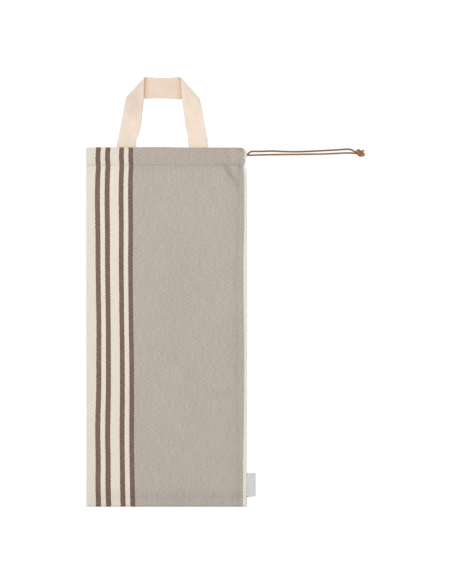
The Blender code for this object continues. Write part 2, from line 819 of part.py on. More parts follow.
main()
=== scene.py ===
# %% [markdown]
# # A linen bread bag
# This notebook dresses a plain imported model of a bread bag: a long flat bag of striped linen, with a
# drawstring that comes out of its side seam, a folded webbing handle and a small side label. The packed
# model says where every piece is. Here each piece gets its fine shape, and then its cloth, thread or cord.
#
# Lengths in the tables are millimetres. "Across" runs from the bag's folded left edge to its side seam,
# "up" from its bottom seam to its mouth, and "high" away from the table that it lies on.

import math
from collections import namedtuple

import bpy
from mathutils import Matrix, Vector


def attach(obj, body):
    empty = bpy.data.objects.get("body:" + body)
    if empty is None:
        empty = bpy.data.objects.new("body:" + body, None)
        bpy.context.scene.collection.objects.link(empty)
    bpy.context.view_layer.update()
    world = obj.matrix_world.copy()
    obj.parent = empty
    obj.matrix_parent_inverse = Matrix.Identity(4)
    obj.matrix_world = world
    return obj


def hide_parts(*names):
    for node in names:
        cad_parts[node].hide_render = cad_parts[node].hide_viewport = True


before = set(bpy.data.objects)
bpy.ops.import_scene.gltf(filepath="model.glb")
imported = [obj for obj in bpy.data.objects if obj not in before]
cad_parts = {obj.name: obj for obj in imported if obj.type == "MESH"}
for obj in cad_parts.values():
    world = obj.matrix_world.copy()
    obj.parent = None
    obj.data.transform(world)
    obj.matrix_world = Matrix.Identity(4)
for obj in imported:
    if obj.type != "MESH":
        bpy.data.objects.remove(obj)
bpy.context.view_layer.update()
print("packed pieces:", ", ".join(sorted(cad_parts)))

# %% [markdown]
# ## Places on the bag
# A maker measures a bag from its own edges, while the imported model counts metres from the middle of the
# whole outline. One small function turns the first into the second, so every table below can stay in
# millimetres from the fold and the bottom seam. Writing metres everywhere would work too, but nobody
# could read a hem depth from them.

# %% One function for every place
MM = 0.001
MIDDLE_ACROSS = 158.0
MIDDLE_UP = 401.5


def place(across, up, high):
    """A point of the bag in the scene's metres."""
    return Vector((across - MIDDLE_ACROSS, up - MIDDLE_UP, high)) * MM


print("the fold and the bottom seam meet at", tuple(round(v, 4) for v in place(0, 0, 0)))

# %% [markdown]
# ## Smooth numbers
# Cloth has no sudden steps, so most shapes here come from a few small curves: a soft step from 0 to 1, a
# dome that rises from an edge, a bell that fades to both sides, and a smooth curve through the rows of a
# table. A Blender curve object could hold the same rows, but plain functions are easier to combine.

# %% Soft steps, domes and bells
def mix(a, b, share):
    return a + (b - a) * share


def kept_share(value):
    """A share that stays between 0 and 1."""
    return min(max(value, 0.0), 1.0)


def smooth_step(value, start, end):
    share = kept_share((value - start) / (end - start))
    return share * share * (3.0 - 2.0 * share)


def dome(share):
    """0 at an edge, 1 from the shoulder on, with a level top."""
    return math.sin(0.5 * math.pi * kept_share(share))


def bell(distance, reach):
    return math.exp(-((distance / reach) ** 2))


print("half way up a dome:", round(dome(0.5), 3))


# %% Tables with a smooth curve through their rows
def table_value(table, at, column=1):
    """A column of a table at a value of its first column, on one smooth curve through the rows."""
    xs = [row[0] for row in table]
    ys = [row[column] for row in table]
    if at <= xs[0]:
        return ys[0]
    if at >= xs[-1]:
        return ys[-1]
    k = next(i for i in range(len(xs) - 1) if at <= xs[i + 1])

    def slope(i):
        low, high = max(i - 1, 0), min(i + 1, len(xs) - 1)
        return (ys[high] - ys[low]) / (xs[high] - xs[low])

    step = xs[k + 1] - xs[k]
    t = (at - xs[k]) / step
    return (
        (2 * t**3 - 3 * t**2 + 1) * ys[k]
        + (t**3 - 2 * t**2 + t) * step * slope(k)
        + (3 * t**2 - 2 * t**3) * ys[k + 1]
        + (t**3 - t**2) * step * slope(k + 1)
    )


def spaced(start, end, step):
    """Even values from start up to, but without, end."""
    count = max(1, round((end - start) / step))
    return [mix(start, end, i / count) for i in range(count)]


def table_of(kind, *rows):
    """A table whose rows all have the same named columns."""
    return tuple(kind(*row) for row in rows)


print("a curve through 0, 1 and 4 is", table_value(((0, 0), (1, 1), (2, 4)), 1.5), "at 1.5")

# %% [markdown]
# ## Camera
# The bag lies on a table and is seen from straight above. A long lens far away keeps the outline free of
# perspective. The camera looks down its own -Z axis, so a camera with no rotation already looks straight
# down, and its image's top points along +Y, towards the bag's handle.

# %% Camera straight above the bag
PICTURE_HEIGHT = 1090.3
PICTURE_MIDDLE = (260.8, 401.5)
CAMERA_HIGH = 6000.0
SENSOR_MM = 36.0
FAR_CLIP = 100.0


def add_object(name, data):
    """A new object in the scene, for a camera, a lamp or a mesh."""
    made = bpy.data.objects.new(name, data)
    bpy.context.scene.collection.objects.link(made)
    return made


lens = bpy.data.cameras.new("camera")
lens.sensor_width = SENSOR_MM
lens.lens = SENSOR_MM * CAMERA_HIGH / PICTURE_HEIGHT
lens.clip_end = FAR_CLIP
camera = add_object("camera", lens)
camera.location = place(*PICTURE_MIDDLE, CAMERA_HIGH)
bpy.context.scene.camera = camera
print("lens", round(lens.lens, 1), "mm")

# %% [markdown]
# ## Table and studio light
# Product pictures of cloth use light that comes from nearly everywhere: a pale room, and big soft boxes.
# The room is the world's background. The key box stands on one side, because light from straight above
# would hide the weave and the creases: relief shows only where light grazes it. The table is a light
# table: its surface is dark and takes no shadow, and it glows evenly, only just bright enough to come out
# white. A brighter glow would swallow half of every edge pixel and leave thin pieces with jagged outlines.

# %% Room and soft boxes
WHITE = (1.0, 1.0, 1.0, 1.0)
ROOM_LIGHT = 0.74
SoftBox = namedtuple("SoftBox", "name across up high size watts")
SOFT_BOXES = (
    SoftBox("key_soft_box", -1300.0, 1300.0, 2300.0, 1700.0, 46.0),
    SoftBox("fill_soft_box", 1900.0, 700.0, 2500.0, 2000.0, 18.0),
)


def add_soft_box(box):
    light = bpy.data.lights.new(box.name, "AREA")
    light.size = box.size * MM
    light.energy = box.watts
    lamp = add_object(box.name, light)
    lamp.location = place(box.across, box.up, box.high)
    aim = place(MIDDLE_ACROSS, MIDDLE_UP, 0.0) - lamp.location
    lamp.rotation_euler = aim.to_track_quat("-Z", "Y").to_euler()


for soft_box in SOFT_BOXES:
    add_soft_box(soft_box)
world = bpy.data.worlds.new("pale_room")
world.use_nodes = True
room = world.node_tree.nodes["Background"].inputs
room["Color"].default_value = WHITE
room["Strength"].default_value = ROOM_LIGHT
bpy.context.scene.world = world
bpy.context.scene.view_settings.view_transform = "Standard"
print(len(SOFT_BOXES), "soft boxes")

# %% [markdown]
# ## A short way to write nodes
# Shader trees and Geometry Nodes trees are both built from nodes and links. Drawing them by hand in the
# editor is easier to see, but can't be repeated. So one helper adds a node, sets its options, and fills
# each input with a value or with a link, and a tree reads like a recipe.

# %% Nodes and their sums
def add_node(tree, kind, inputs=None, **options):
    node = tree.nodes.new(kind)
    for option, value in options.items():
        setattr(node, option, value)
    for key, value in (inputs or {}).items():
        if isinstance(value, bpy.types.NodeSocket):
            tree.links.new(value, node.inputs[key])
        else:
            node.inputs[key].default_value = value
    return node


def calc(tree, operation, a, b=0.0, c=0.0):
    """One Math node: its result for two or three values or links."""
    return add_node(tree, "ShaderNodeMath", {0: a, 1: b, 2: c}, operation=operation).outputs[0]


def add_up(tree, start, *parts):
    """A start, plus each (value, share) in turn, the value times its share."""
    for value, share in parts:
        start = calc(tree, "MULTIPLY_ADD", value, share, start)
    return start


def map_range(tree, value, start, end, to=1.0):
    """0 where a value is at start, rising to 1, or to what is given, at end, and level past both."""
    limits = {"Value": value, "From Min": start, "From Max": end, "To Max": to}
    return add_node(tree, "ShaderNodeMapRange", limits).outputs[0]


print("helpers for nodes are ready in Blender", bpy.app.version_string)

# %% Colours and finishes
LIGHT_GAIN = 1.3
CLOTH_GLOSS = 0.25


def linear(red, green, blue):
    """A colour picked as 0 to 255 screen values, as the linear colour that nodes expect."""
    return tuple(((v / 255 + 0.055) / 1.055) ** 2.4 for v in (red, green, blue)) + (1.0,)


def dyed(red, green, blue):
    """The colour a finish needs so that the bright studio light shows it as those screen values."""
    return tuple(value / LIGHT_GAIN for value in linear(red, green, blue)[:3]) + (1.0,)


def start_material(name, roughness, sheen=0.0, gloss=CLOTH_GLOSS):
    """A new material: its tree, and its main shader with what is the same all over."""
    made = bpy.data.materials.new(name)
    made.use_nodes = True
    shader = made.node_tree.nodes["Principled BSDF"]
    shader.inputs["Roughness"].default_value = roughness
    shader.inputs["Sheen Weight"].default_value = sheen
    shader.inputs["Specular IOR Level"].default_value = gloss
    return made, made.node_tree, shader


def blend_colours(tree, share, a, b, mode="MIX"):
    node = add_node(tree, "ShaderNodeMix", {0: share, 6: a, 7: b}, data_type="RGBA", blend_type=mode)
    return node.outputs[2]


def colour_it(tree, shader, colour, shade=None):
    """Gives a finish its colour, made darker or paler by a shade that is 1 where it stays as it is."""
    if shade:
        grey = add_node(tree, "ShaderNodeCombineXYZ", {0: shade, 1: shade, 2: shade}).outputs[0]
        colour = blend_colours(tree, 1.0, colour, grey, mode="MULTIPLY")
    tree.links.new(colour, shader.inputs["Base Color"])


def roughen(tree, shader, value, share, least):
    """Roughness that changes with the threads: a value times a share, on top of the least."""
    tree.links.new(calc(tree, "MULTIPLY_ADD", value, share, least), shader.inputs["Roughness"])


def add_bump(tree, shader, height, distance):
    bump = add_node(tree, "ShaderNodeBump", {"Height": height, "Strength": 1.0, "Distance": distance})
    tree.links.new(bump.outputs["Normal"], shader.inputs["Normal"])


print("a mid grey is", round(linear(128, 128, 128)[0], 3), "in linear light")

# %% [markdown]
# ## Table top
# The table is only a stage: a plain glowing sheet a little below the bag. It still gets a trace of
# unevenness, because a perfectly even surface looks like missing geometry.

# %% Lay the table
FLOOR_SIZE = 6000.0
FLOOR_DROP = 0.4
TABLE_GLOW = 0.96
TABLE_SHADES = (0.05, 0.055)
TABLE_CLOUDS = 1.3


def table_finish():
    finish, tree, shader = start_material("table_white", roughness=0.7)
    spot = add_node(tree, "ShaderNodeTexCoord").outputs["Object"]
    cloud = add_node(tree, "ShaderNodeTexNoise", {"Vector": spot, "Scale": TABLE_CLOUDS}).outputs["Fac"]
    dark, pale = ((shade, shade, shade, 1.0) for shade in TABLE_SHADES)
    colour_it(tree, shader, blend_colours(tree, cloud, dark, pale))
    shader.inputs["Emission Color"].default_value = WHITE
    shader.inputs["Emission Strength"].default_value = TABLE_GLOW
    return finish


table_mesh = bpy.data.meshes.new("table_top")
half = FLOOR_SIZE / 2
corners = [(-half, -half), (half, -half), (half, half), (-half, half)]
table_mesh.from_pydata([place(a, u, -FLOOR_DROP) for a, u in corners], [], [(0, 1, 2, 3)])
table_mesh.materials.append(table_finish())
table_top = add_object("table_top", table_mesh)
print("table", FLOOR_SIZE * MM, "m wide")

# %% [markdown]
# ## Drawstring: a twisted cord from Geometry Nodes
# The drawstring is a waxed cord, three millimetres thick and laid from three plies. It could be three
# helices wound round each other, but at this size only the grooves between the plies show. So one
# profile with three lobes is swept along the cord's path and turned as it goes, which gives the same
# grooves with a single clean skin. Geometry Nodes do the sweep, so the same tree also makes the knot.

# %% Start a Geometry Nodes tree
def start_tree(name, inputs):
    """A new tree with named inputs; returns it, its inputs by name, and the node that ends it."""
    tree = bpy.data.node_groups.new(name, "GeometryNodeTree")
    tree.interface.new_socket("Geometry", in_out="INPUT", socket_type="NodeSocketGeometry")
    for label, kind, value in inputs:
        socket = tree.interface.new_socket(label, in_out="INPUT", socket_type=kind)
        if value is not None:
            socket.default_value = value
    tree.interface.new_socket("Geometry", in_out="OUTPUT", socket_type="NodeSocketGeometry")
    given = tree.nodes.new("NodeGroupInput").outputs
    return tree, given, tree.nodes.new("NodeGroupOutput")


def end_tree(tree, end, geometry, finish, smooth=True):
    """Every tree ends alike: smooth shading, real meshes in place of instances, and the material."""
    shaded = add_node(tree, "GeometryNodeSetShadeSmooth", {"Geometry": geometry, "Shade Smooth": smooth})
    real = add_node(tree, "GeometryNodeRealizeInstances", {"Geometry": shaded.outputs[0]})
    dressed = add_node(tree, "GeometryNodeSetMaterial", {"Geometry": real.outputs[0], "Material": finish})
    tree.links.new(dressed.outputs[0], end.inputs[0])


print("every tree can start and end")


# %% Nodes that several trees use
def even_line(tree, line, spacing):
    """The line that a tree was given, as a curve with its points at one spacing."""
    curve = add_node(tree, "GeometryNodeMeshToCurve", {"Mesh": line}).outputs[0]
    settings = {"Curve": curve, "Length": spacing}
    return add_node(tree, "GeometryNodeResampleCurve", settings, mode="LENGTH").outputs[0]


def round_profile(tree, points, diameter):
    settings = {"Resolution": points, "Radius": calc(tree, "MULTIPLY", diameter, 0.5)}
    return add_node(tree, "GeometryNodeCurvePrimitiveCircle", settings).outputs[0]


def sweep(tree, curve, profile):
    """Draws a profile along a curve and closes both ends."""
    settings = {"Curve": curve, "Profile Curve": profile, "Fill Caps": True}
    return add_node(tree, "GeometryNodeCurveToMesh", settings).outputs[0]


def write_down(tree, geometry, label, value):
    """Keeps a value on the geometry as a named attribute, which its finish can read."""
    settings = {"Geometry": geometry, "Name": label, "Value": value}
    return add_node(tree, "GeometryNodeStoreNamedAttribute", settings).outputs[0]


print("cords and stitches are both swept along curves")


# %% Run a tree
def grow(name, lines, tree, settings, ups=None):
    """Runs a tree over lines of points, each (points, closed), and keeps the result as a plain mesh."""
    points, edges = [], []
    for path, closed in lines:
        first = len(points)
        points += [tuple(point) for point in path]
        edges += [(first + i, first + i + 1) for i in range(len(path) - 1)]
        if closed:
            edges.append((len(points) - 1, first))
    mesh = bpy.data.meshes.new(name + "_line")
    mesh.from_pydata(points, edges, [])
    if ups:
        mesh.attributes.new("surface_up", "FLOAT_VECTOR", "POINT").data.foreach_set(
            "vector", [value for up in ups for value in up]
        )
    guide = add_object(name + "_line", mesh)
    modifier = guide.modifiers.new(tree.name, "NODES")
    modifier.node_group = tree
    for item in tree.interface.items_tree:
        if item.in_out == "INPUT" and item.name in settings:
            modifier[item.identifier] = settings[item.name]
    graph = bpy.context.evaluated_depsgraph_get()
    grown = bpy.data.meshes.new_from_object(guide.evaluated_get(graph), depsgraph=graph)
    guide.modifiers.clear()
    bpy.data.objects.remove(guide)
    grown.name = name
    print(name, "has", len(grown.polygons), "faces")
    return add_object(name, grown)


# %% Tree that lays plies along a path
def twisted_cord_tree():
    tree, given, end = start_tree(
        "Twisted cord",
        [
            ("Cord Diameter", "NodeSocketFloat", 0.003),
            ("Plies", "NodeSocketInt", 3),
            ("Lay Length", "NodeSocketFloat", 0.011),
            ("Groove Depth", "NodeSocketFloat", 0.13),
            ("Point Spacing", "NodeSocketFloat", 0.0005),
            ("Profile Points", "NodeSocketInt", 18),
            ("Tone", "NodeSocketFloat", 0.0),
            ("Hidden End", "NodeSocketFloat", 0.0),
            ("Cord Material", "NodeSocketMaterial", None),
        ],
    )
    even = even_line(tree, given["Geometry"], given["Point Spacing"])
    walked = add_node(tree, "GeometryNodeSplineParameter").outputs
    turns = calc(tree, "DIVIDE", walked["Length"], given["Lay Length"])
    tilt = calc(tree, "MULTIPLY", turns, 2 * math.pi)
    path = add_node(tree, "GeometryNodeSetCurveTilt", {"Curve": even, "Tilt": tilt}).outputs[0]
    whole = add_node(tree, "GeometryNodeSplineLength").outputs["Length"]
    to_end = calc(tree, "SUBTRACT", calc(tree, "ADD", whole, given["Hidden End"]), walked["Length"])
    for label, value in (("cord_to_end", to_end), ("cord_tone", given["Tone"])):
        path = write_down(tree, path, label, value)
    half_turns = calc(tree, "MULTIPLY", calc(tree, "MULTIPLY", walked["Factor"], given["Plies"]), math.pi)
    groove = calc(tree, "SUBTRACT", 1.0, calc(tree, "ABSOLUTE", calc(tree, "COSINE", half_turns)))
    keep = calc(tree, "SUBTRACT", 1.0, calc(tree, "MULTIPLY", groove, given["Groove Depth"]))
    spot = add_node(tree, "GeometryNodeInputPosition").outputs[0]
    lobed = add_node(tree, "ShaderNodeVectorMath", {0: spot, "Scale": keep}, operation="SCALE").outputs[0]
    circle = round_profile(tree, given["Profile Points"], given["Cord Diameter"])
    noted = write_down(tree, circle, "cord_groove", groove)
    profile = add_node(tree, "GeometryNodeSetPosition", {"Geometry": noted, "Position": lobed}).outputs[0]
    end_tree(tree, end, sweep(tree, path, profile), given["Cord Material"])
    return tree


cord_tree = twisted_cord_tree()
print("the cord tree has", len(cord_tree.nodes), "nodes")

# %% [markdown]
# ## Waxed cord finish
# Waxed tan cord is smooth and a little shiny on its plies, and darker in the grooves between them.
# The tree above wrote the groove and the distance to the cord's end into the mesh as attributes, so the
# finish follows the plies however the cord bends. Handling has greyed it in patches, and its cut ends are
# darker, where the fibres were singed.

# %% Cord finish
CORD_TAN = dyed(181, 124, 81)
CORD_GREY = dyed(142, 104, 66)
CORD_GROOVE = dyed(88, 50, 20)
CORD_CUT = dyed(84, 74, 62)
CORD_GLOSS = 0.14
GREY_PATCHES = 38.0
PATCH_CONTRAST, PATCH_LEAST = 1.5, 0.22
GROOVE_SHARPNESS, GROOVE_SHARE = 2.2, 0.75
SINGED_LENGTH, SINGED_FULL, SINGED_SHARE = 0.0014, 0.0004, 0.8
CORD_FIBRES = 2600.0
FIBRE_RELIEF = 0.00012


def attribute(tree, name):
    return add_node(tree, "ShaderNodeAttribute", attribute_name=name).outputs["Fac"]


def fine_noise(tree, vector, scale, detail=2.0):
    settings = {"Vector": vector, "Scale": scale, "Detail": detail}
    return add_node(tree, "ShaderNodeTexNoise", settings).outputs["Fac"]


def waxed_cord():
    finish, tree, shader = start_material("waxed_cord", roughness=0.5, gloss=CORD_GLOSS)
    spot = add_node(tree, "ShaderNodeTexCoord").outputs["Object"]
    patch = calc(tree, "SUBTRACT", fine_noise(tree, spot, GREY_PATCHES), 0.5)
    uneven = calc(tree, "MULTIPLY_ADD", patch, PATCH_CONTRAST, PATCH_LEAST)
    grey = calc(tree, "MAXIMUM", calc(tree, "ADD", uneven, attribute(tree, "cord_tone")), 0.0)
    body = blend_colours(tree, calc(tree, "MINIMUM", grey, 1.0), CORD_TAN, CORD_GREY)
    depth = calc(tree, "POWER", attribute(tree, "cord_groove"), GROOVE_SHARPNESS)
    grooved = blend_colours(tree, calc(tree, "MULTIPLY", depth, GROOVE_SHARE), body, CORD_GROOVE)
    near_end = map_range(tree, attribute(tree, "cord_to_end"), SINGED_LENGTH, SINGED_FULL)
    singed = calc(tree, "MULTIPLY", near_end, SINGED_SHARE)
    colour_it(tree, shader, blend_colours(tree, singed, grooved, CORD_CUT))
    fibres = fine_noise(tree, spot, CORD_FIBRES)
    roughen(tree, shader, fibres, share=0.2, least=0.36)
    add_bump(tree, shader, fibres, FIBRE_RELIEF)
    return finish


cord_finish = waxed_cord()
print("cord finish ready")

# %% [markdown]
# ## Two free strands
# Both ends of the drawstring leave the channel through one opening in the side seam, cross there, and run
# side by side over the table to their knot. A limp cord lies down within a few diameters of its exit. Its
# route is a short list of places, with a smooth curve drawn through them, as a cord has no corners.

# %% Routes of the two strands
RoutePoint = namedtuple("RoutePoint", "across up high")
UPPER_STRAND = table_of(
    RoutePoint,
    (289.8, 656.8, 5.3), (295.0, 656.6, 5.3), (297.8, 655.9, 5.8), (300.4, 657.2, 6.8),
    (303.4, 660.6, 7.3), (307.0, 663.0, 6.9), (312.5, 663.8, 5.6), (322.0, 663.8, 3.5),
    (334.0, 664.2, 1.9), (348.0, 664.6, 1.7), (371.0, 663.6, 1.7), (396.0, 663.4, 1.7),
    (424.0, 664.4, 1.7), (448.0, 665.7, 1.7), (472.0, 667.0, 1.7), (486.0, 668.0, 1.9),
    (493.0, 667.4, 2.5), (498.5, 664.9, 3.2), (503.5, 662.5, 4.2), (505.8, 661.9, 4.5),
)
LOWER_STRAND = table_of(
    RoutePoint,
    (289.8, 661.0, 5.3), (295.0, 660.4, 5.0), (298.2, 658.6, 4.1), (301.4, 657.0, 3.2),
    (305.0, 656.7, 2.4), (310.0, 656.9, 1.9), (318.0, 657.2, 1.7), (351.0, 657.9, 1.7),
    (381.0, 658.2, 1.7), (412.0, 658.6, 1.7), (442.0, 659.1, 1.7), (472.0, 660.4, 1.7),
    (486.0, 661.0, 2.0), (496.0, 660.8, 3.0), (503.5, 659.9, 3.6), (505.8, 659.8, 4.0),
)
print("the routes pass", len(UPPER_STRAND), "and", len(LOWER_STRAND), "places")

# %% Smooth curve through a route
ROUTE_STEP = 1.0


def smooth_route(points, step):
    """Points about a step apart on one smooth curve through a route's own points."""
    knots = [Vector(p) for p in points]
    knots = [2 * knots[0] - knots[1]] + knots + [2 * knots[-1] - knots[-2]]
    fine = []
    for before, start, end, after in zip(knots, knots[1:], knots[2:], knots[3:]):
        pieces = max(2, round((end - start).length / step))
        for i in range(pieces):
            t = i / pieces
            point = 2 * start + (end - before) * t
            point += (2 * before - 5 * start + 4 * end - after) * t**2
            point += (3 * start - before - 3 * end + after) * t**3
            fine.append(0.5 * point)
    return fine + [knots[-2]]


def route_length(path):
    return sum((b - a).length for a, b in zip(path, path[1:]))


print("the upper route has", len(smooth_route(UPPER_STRAND, ROUTE_STEP)), "points")

# %% Grow the strands
CORD_OVER_PLIES = 3.35
LAY_LENGTH = 10.5
HIDDEN_END = 1.0  # in metres past the route's end: the strands have no cut end here that could be singed
CORD_SETTINGS = {
    "Cord Diameter": CORD_OVER_PLIES * MM,
    "Lay Length": LAY_LENGTH * MM,
    "Cord Material": cord_finish,
}
STRANDS = {  # each strand's route and how far it has greyed
    "drawstring_strand_upper": (UPPER_STRAND, 0.5),
    "drawstring_strand_lower": (LOWER_STRAND, 0.25),
}
strand_routes, strands = {}, {}
for strand_name, (stops, tone) in STRANDS.items():
    route = [place(*stop) for stop in smooth_route(stops, ROUTE_STEP)]
    greyed_cord = CORD_SETTINGS | {"Tone": tone, "Hidden End": HIDDEN_END}
    strands[strand_name] = grow(strand_name, [(route, False)], cord_tree, greyed_cord)
    strand_routes[strand_name] = route
    print(strand_name, "is", round(route_length(route), 4), "m long")

# %% [markdown]
# ## The knot
# The two strands are tied together in one tight knot: three turns go round the doubled cord, the middle
# one widest, and both cut ends stand out behind them. A real knot could be traced as one long path, but
# what shows is its turns, lying aslant over the cord. So each turn is a closed oval line that leans as it
# crosses the top, and the same tree lays its plies.

# %% Turns and cut ends of the knot
Turn = namedtuple("Turn", "across up up_radius high_radius lean")
TURNS = (  # the middle of each turn, its half length along and above the table, and how it leans
    Turn(506.9, 661.6, 4.7, 2.8, 0.4),
    Turn(509.6, 661.0, 5.9, 3.3, 0.45),
    Turn(513.6, 659.9, 4.8, 2.9, 0.45),
)
CUT_ENDS = (  # each strand goes on through the knot and ends just past it
    table_of(
        RoutePoint,
        (507.0, 661.9, 4.7), (510.5, 662.4, 4.7), (514.5, 663.3, 4.2), (516.9, 665.2, 3.1),
        (517.6, 666.3, 2.6),
    ),
    table_of(
        RoutePoint,
        (507.0, 659.8, 4.3), (511.0, 660.3, 4.6), (515.1, 661.2, 3.8), (517.3, 660.3, 2.8),
        (518.4, 658.8, 2.0), (518.6, 657.0, 1.7), (518.3, 655.3, 1.7),
    ),
)
print("the knot has", len(TURNS), "turns and", len(CUT_ENDS), "cut ends")

# %% Tie the knot
KNOT_HIGH = 4.9
KNOT_STEP = 0.5
KNOT_TONE = -0.25
TURN_POINTS = 64


def knot_turn(turn):
    """One turn, from its lowest point: an upright oval round the doubled cord, leaning across it."""
    path = []
    for k in range(TURN_POINTS):
        angle = 2 * math.pi * k / TURN_POINTS - math.pi / 2
        reach = turn.up_radius * math.cos(angle)
        lift = turn.high_radius * math.sin(angle)
        lean = -turn.lean * reach * 0.5 * (1 + math.sin(angle))
        path.append(place(turn.across + lean, turn.up + reach, KNOT_HIGH + lift))
    return path


knot_lines = [(knot_turn(turn), True) for turn in TURNS]
knot_lines += [([place(*stop) for stop in smooth_route(end, KNOT_STEP)], False) for end in CUT_ENDS]
knot = grow("drawstring_knot_turns", knot_lines, cord_tree, CORD_SETTINGS | {"Tone": KNOT_TONE})
print("the knot is laid along", len(knot_lines), "lines")

# %% [markdown]
# ## Bag cloth: outline
# The bag is one cloth panel, folded along its left edge and sewn along its bottom and right side. Its top
# is turned in as a channel for the drawstring. It lies nearly flat, so a cloth simulation would change
# little. Its shape is written down instead: how wide it is at each height, how thick at its edges, and how
# high the front lies off the table.

# %% Sizes of the bag
BAG_WIDTH = 300.0
BAG_LENGTH = 672.0
HEM_DEPTH = 34.0
STITCH_LINE = BAG_LENGTH - HEM_DEPTH
EDGE_HEIGHT = 4.8
HEM_EDGE_HEIGHT = 5.8
HEM_BLEND = (-16.0, 6.0)  # the cloth thickens from below its channel's stitches to above them


def hem_share(up):
    """0 in the body of the bag, 1 in the channel at its mouth."""
    return smooth_step(up, *(STITCH_LINE + step for step in HEM_BLEND))


def fold_height(up):
    return mix(EDGE_HEIGHT, HEM_EDGE_HEIGHT, hem_share(up))


print("the fold is", fold_height(0), "mm thick, and", fold_height(BAG_LENGTH), "mm at the mouth")

# %% Edge of the side seam and rim of the mouth
EdgeRow = namedtuple("EdgeRow", "up inset")
SIDE_SEAM_EDGE = table_of(  # how far the side seam lies inside the bag's nominal width
    EdgeRow,
    (0.0, 0.6), (330.0, 0.0), (560.0, 0.2), (609.0, 0.3), (620.0, 0.8), (630.0, 2.0), (634.5, 3.6),
    (640.0, 3.7), (645.0, 2.4), (651.5, 2.4), (654.5, 1.7), (657.0, 0.4), (661.5, 0.0), (663.8, 0.2),
    (665.6, 0.5), (667.4, 2.4), (669.3, 3.7), (671.0, 5.4),
)
RimRow = namedtuple("RimRow", "across rise")
MOUTH_RIM = table_of(  # how far the front's rim lies above or below the bag's nominal length
    RimRow,
    (0.0, -1.0), (3.0, -0.7), (7.0, -0.65), (12.0, -0.8), (31.0, -0.6), (39.0, -0.95), (76.0, -1.0),
    (84.0, -1.3), (94.0, -0.8), (119.0, -0.5), (145.0, -0.45), (167.0, -0.95), (190.0, -1.35),
    (204.0, -2.0), (222.0, -1.45), (240.0, -1.25), (262.0, -1.3), (283.0, -1.15), (290.0, -1.6),
    (300.0, -2.5),
)


def seam_across(up):
    return BAG_WIDTH - table_value(SIDE_SEAM_EDGE, up)


print("the side seam lies", round(seam_across(300), 1), "mm from the fold")

# %% [markdown]
# ## Bag cloth: openings in the side seam
# Front and back are sewn together along the right side. Two places stay open: a slit near the mouth where
# the drawstring comes out, and a short slot low down that holds the label's ends. Cutting them with a
# Boolean would leave hard edges. Here the groove between the two layers simply gets deeper and wider
# there, so the lips stay soft.

# %% Seam groove, slit and slot
SEAM_GROOVE = 0.7
SEAM_HALF_GAP = 0.12
EXIT_UP = 658.9
EXIT_HIGH = 5.3
EXIT_HALF_LENGTH = 6.4
EXIT_HALF_GAP = 2.1
EXIT_DEPTH = 9.0
EXIT_RISE = 3.5
EXIT_RISE_LENGTH = 12.0
LABEL_BOTTOM = 18.8
LABEL_TOP = 63.6
LABEL_HALF_GAP = 1.2
LABEL_SLOT_DEPTH = 4.0
SLOT_EASE = (0.2, 1.2)  # the label's slot closes between these distances past the label


def seam_height(up):
    """Thickness of the closed bag at its side seam, larger round the drawstring's slit."""
    return fold_height(up) + EXIT_RISE * bell(up - EXIT_UP, EXIT_RISE_LENGTH)


def exit_share(up):
    """How far the slit is open: 1 in its middle, 0 at both ends, with an almond shape."""
    return math.sqrt(max(0.0, 1.0 - ((up - EXIT_UP) / EXIT_HALF_LENGTH) ** 2))


def label_share(up):
    """How far the slot is open: 1 along the label, 0 past both of its ends."""
    near, far = SLOT_EASE
    opened = smooth_step(up, LABEL_BOTTOM - far, LABEL_BOTTOM - near)
    return opened * (1.0 - smooth_step(up, LABEL_TOP + near, LABEL_TOP + far))


def seam_opening(up):
    """Depth of the groove between front and back, half its width, and the height of its middle."""
    at_exit, at_label = exit_share(up), label_share(up)
    deeper = (EXIT_DEPTH - SEAM_GROOVE) * at_exit
    depth = SEAM_GROOVE + deeper + (LABEL_SLOT_DEPTH - SEAM_GROOVE) * at_label
    gap = SEAM_HALF_GAP + EXIT_HALF_GAP * at_exit + LABEL_HALF_GAP * at_label
    middle = mix(seam_height(up) / 2, EXIT_HIGH, smooth_step(at_exit, 0.0, 0.5))
    return depth, gap, middle


print("the slit is", round(2 * seam_opening(EXIT_UP)[1], 1), "mm wide in its middle")

# %% [markdown]
# ## Bag cloth: how the front lies
# Front and back lie apart in the middle and meet at the edges, and the drawstring pulls a fan of creases
# into the corner where it leaves. Loose cloth also rolls a little, and every seam puckers. All of it is
# one height for each point of the front: a dome from edge to edge, long low waves, a short list of
# creases, and ripples that fade away from the seams.

# %% Long waves
Wave = namedtuple("Wave", "height across_length up_length phase")
SOFT_WAVES = (
    Wave(0.35, 210.0, 330.0, 0.4),
    Wave(0.25, -130.0, 190.0, 2.1),
    Wave(0.18, 95.0, 120.0, 4.0),
)


def wave_height(across, up):
    return sum(
        w.height * math.sin(2 * math.pi * (across / w.across_length + up / w.up_length) + w.phase)
        for w in SOFT_WAVES
    )


print("the waves lift the middle by", round(wave_height(150, 330), 2), "mm")

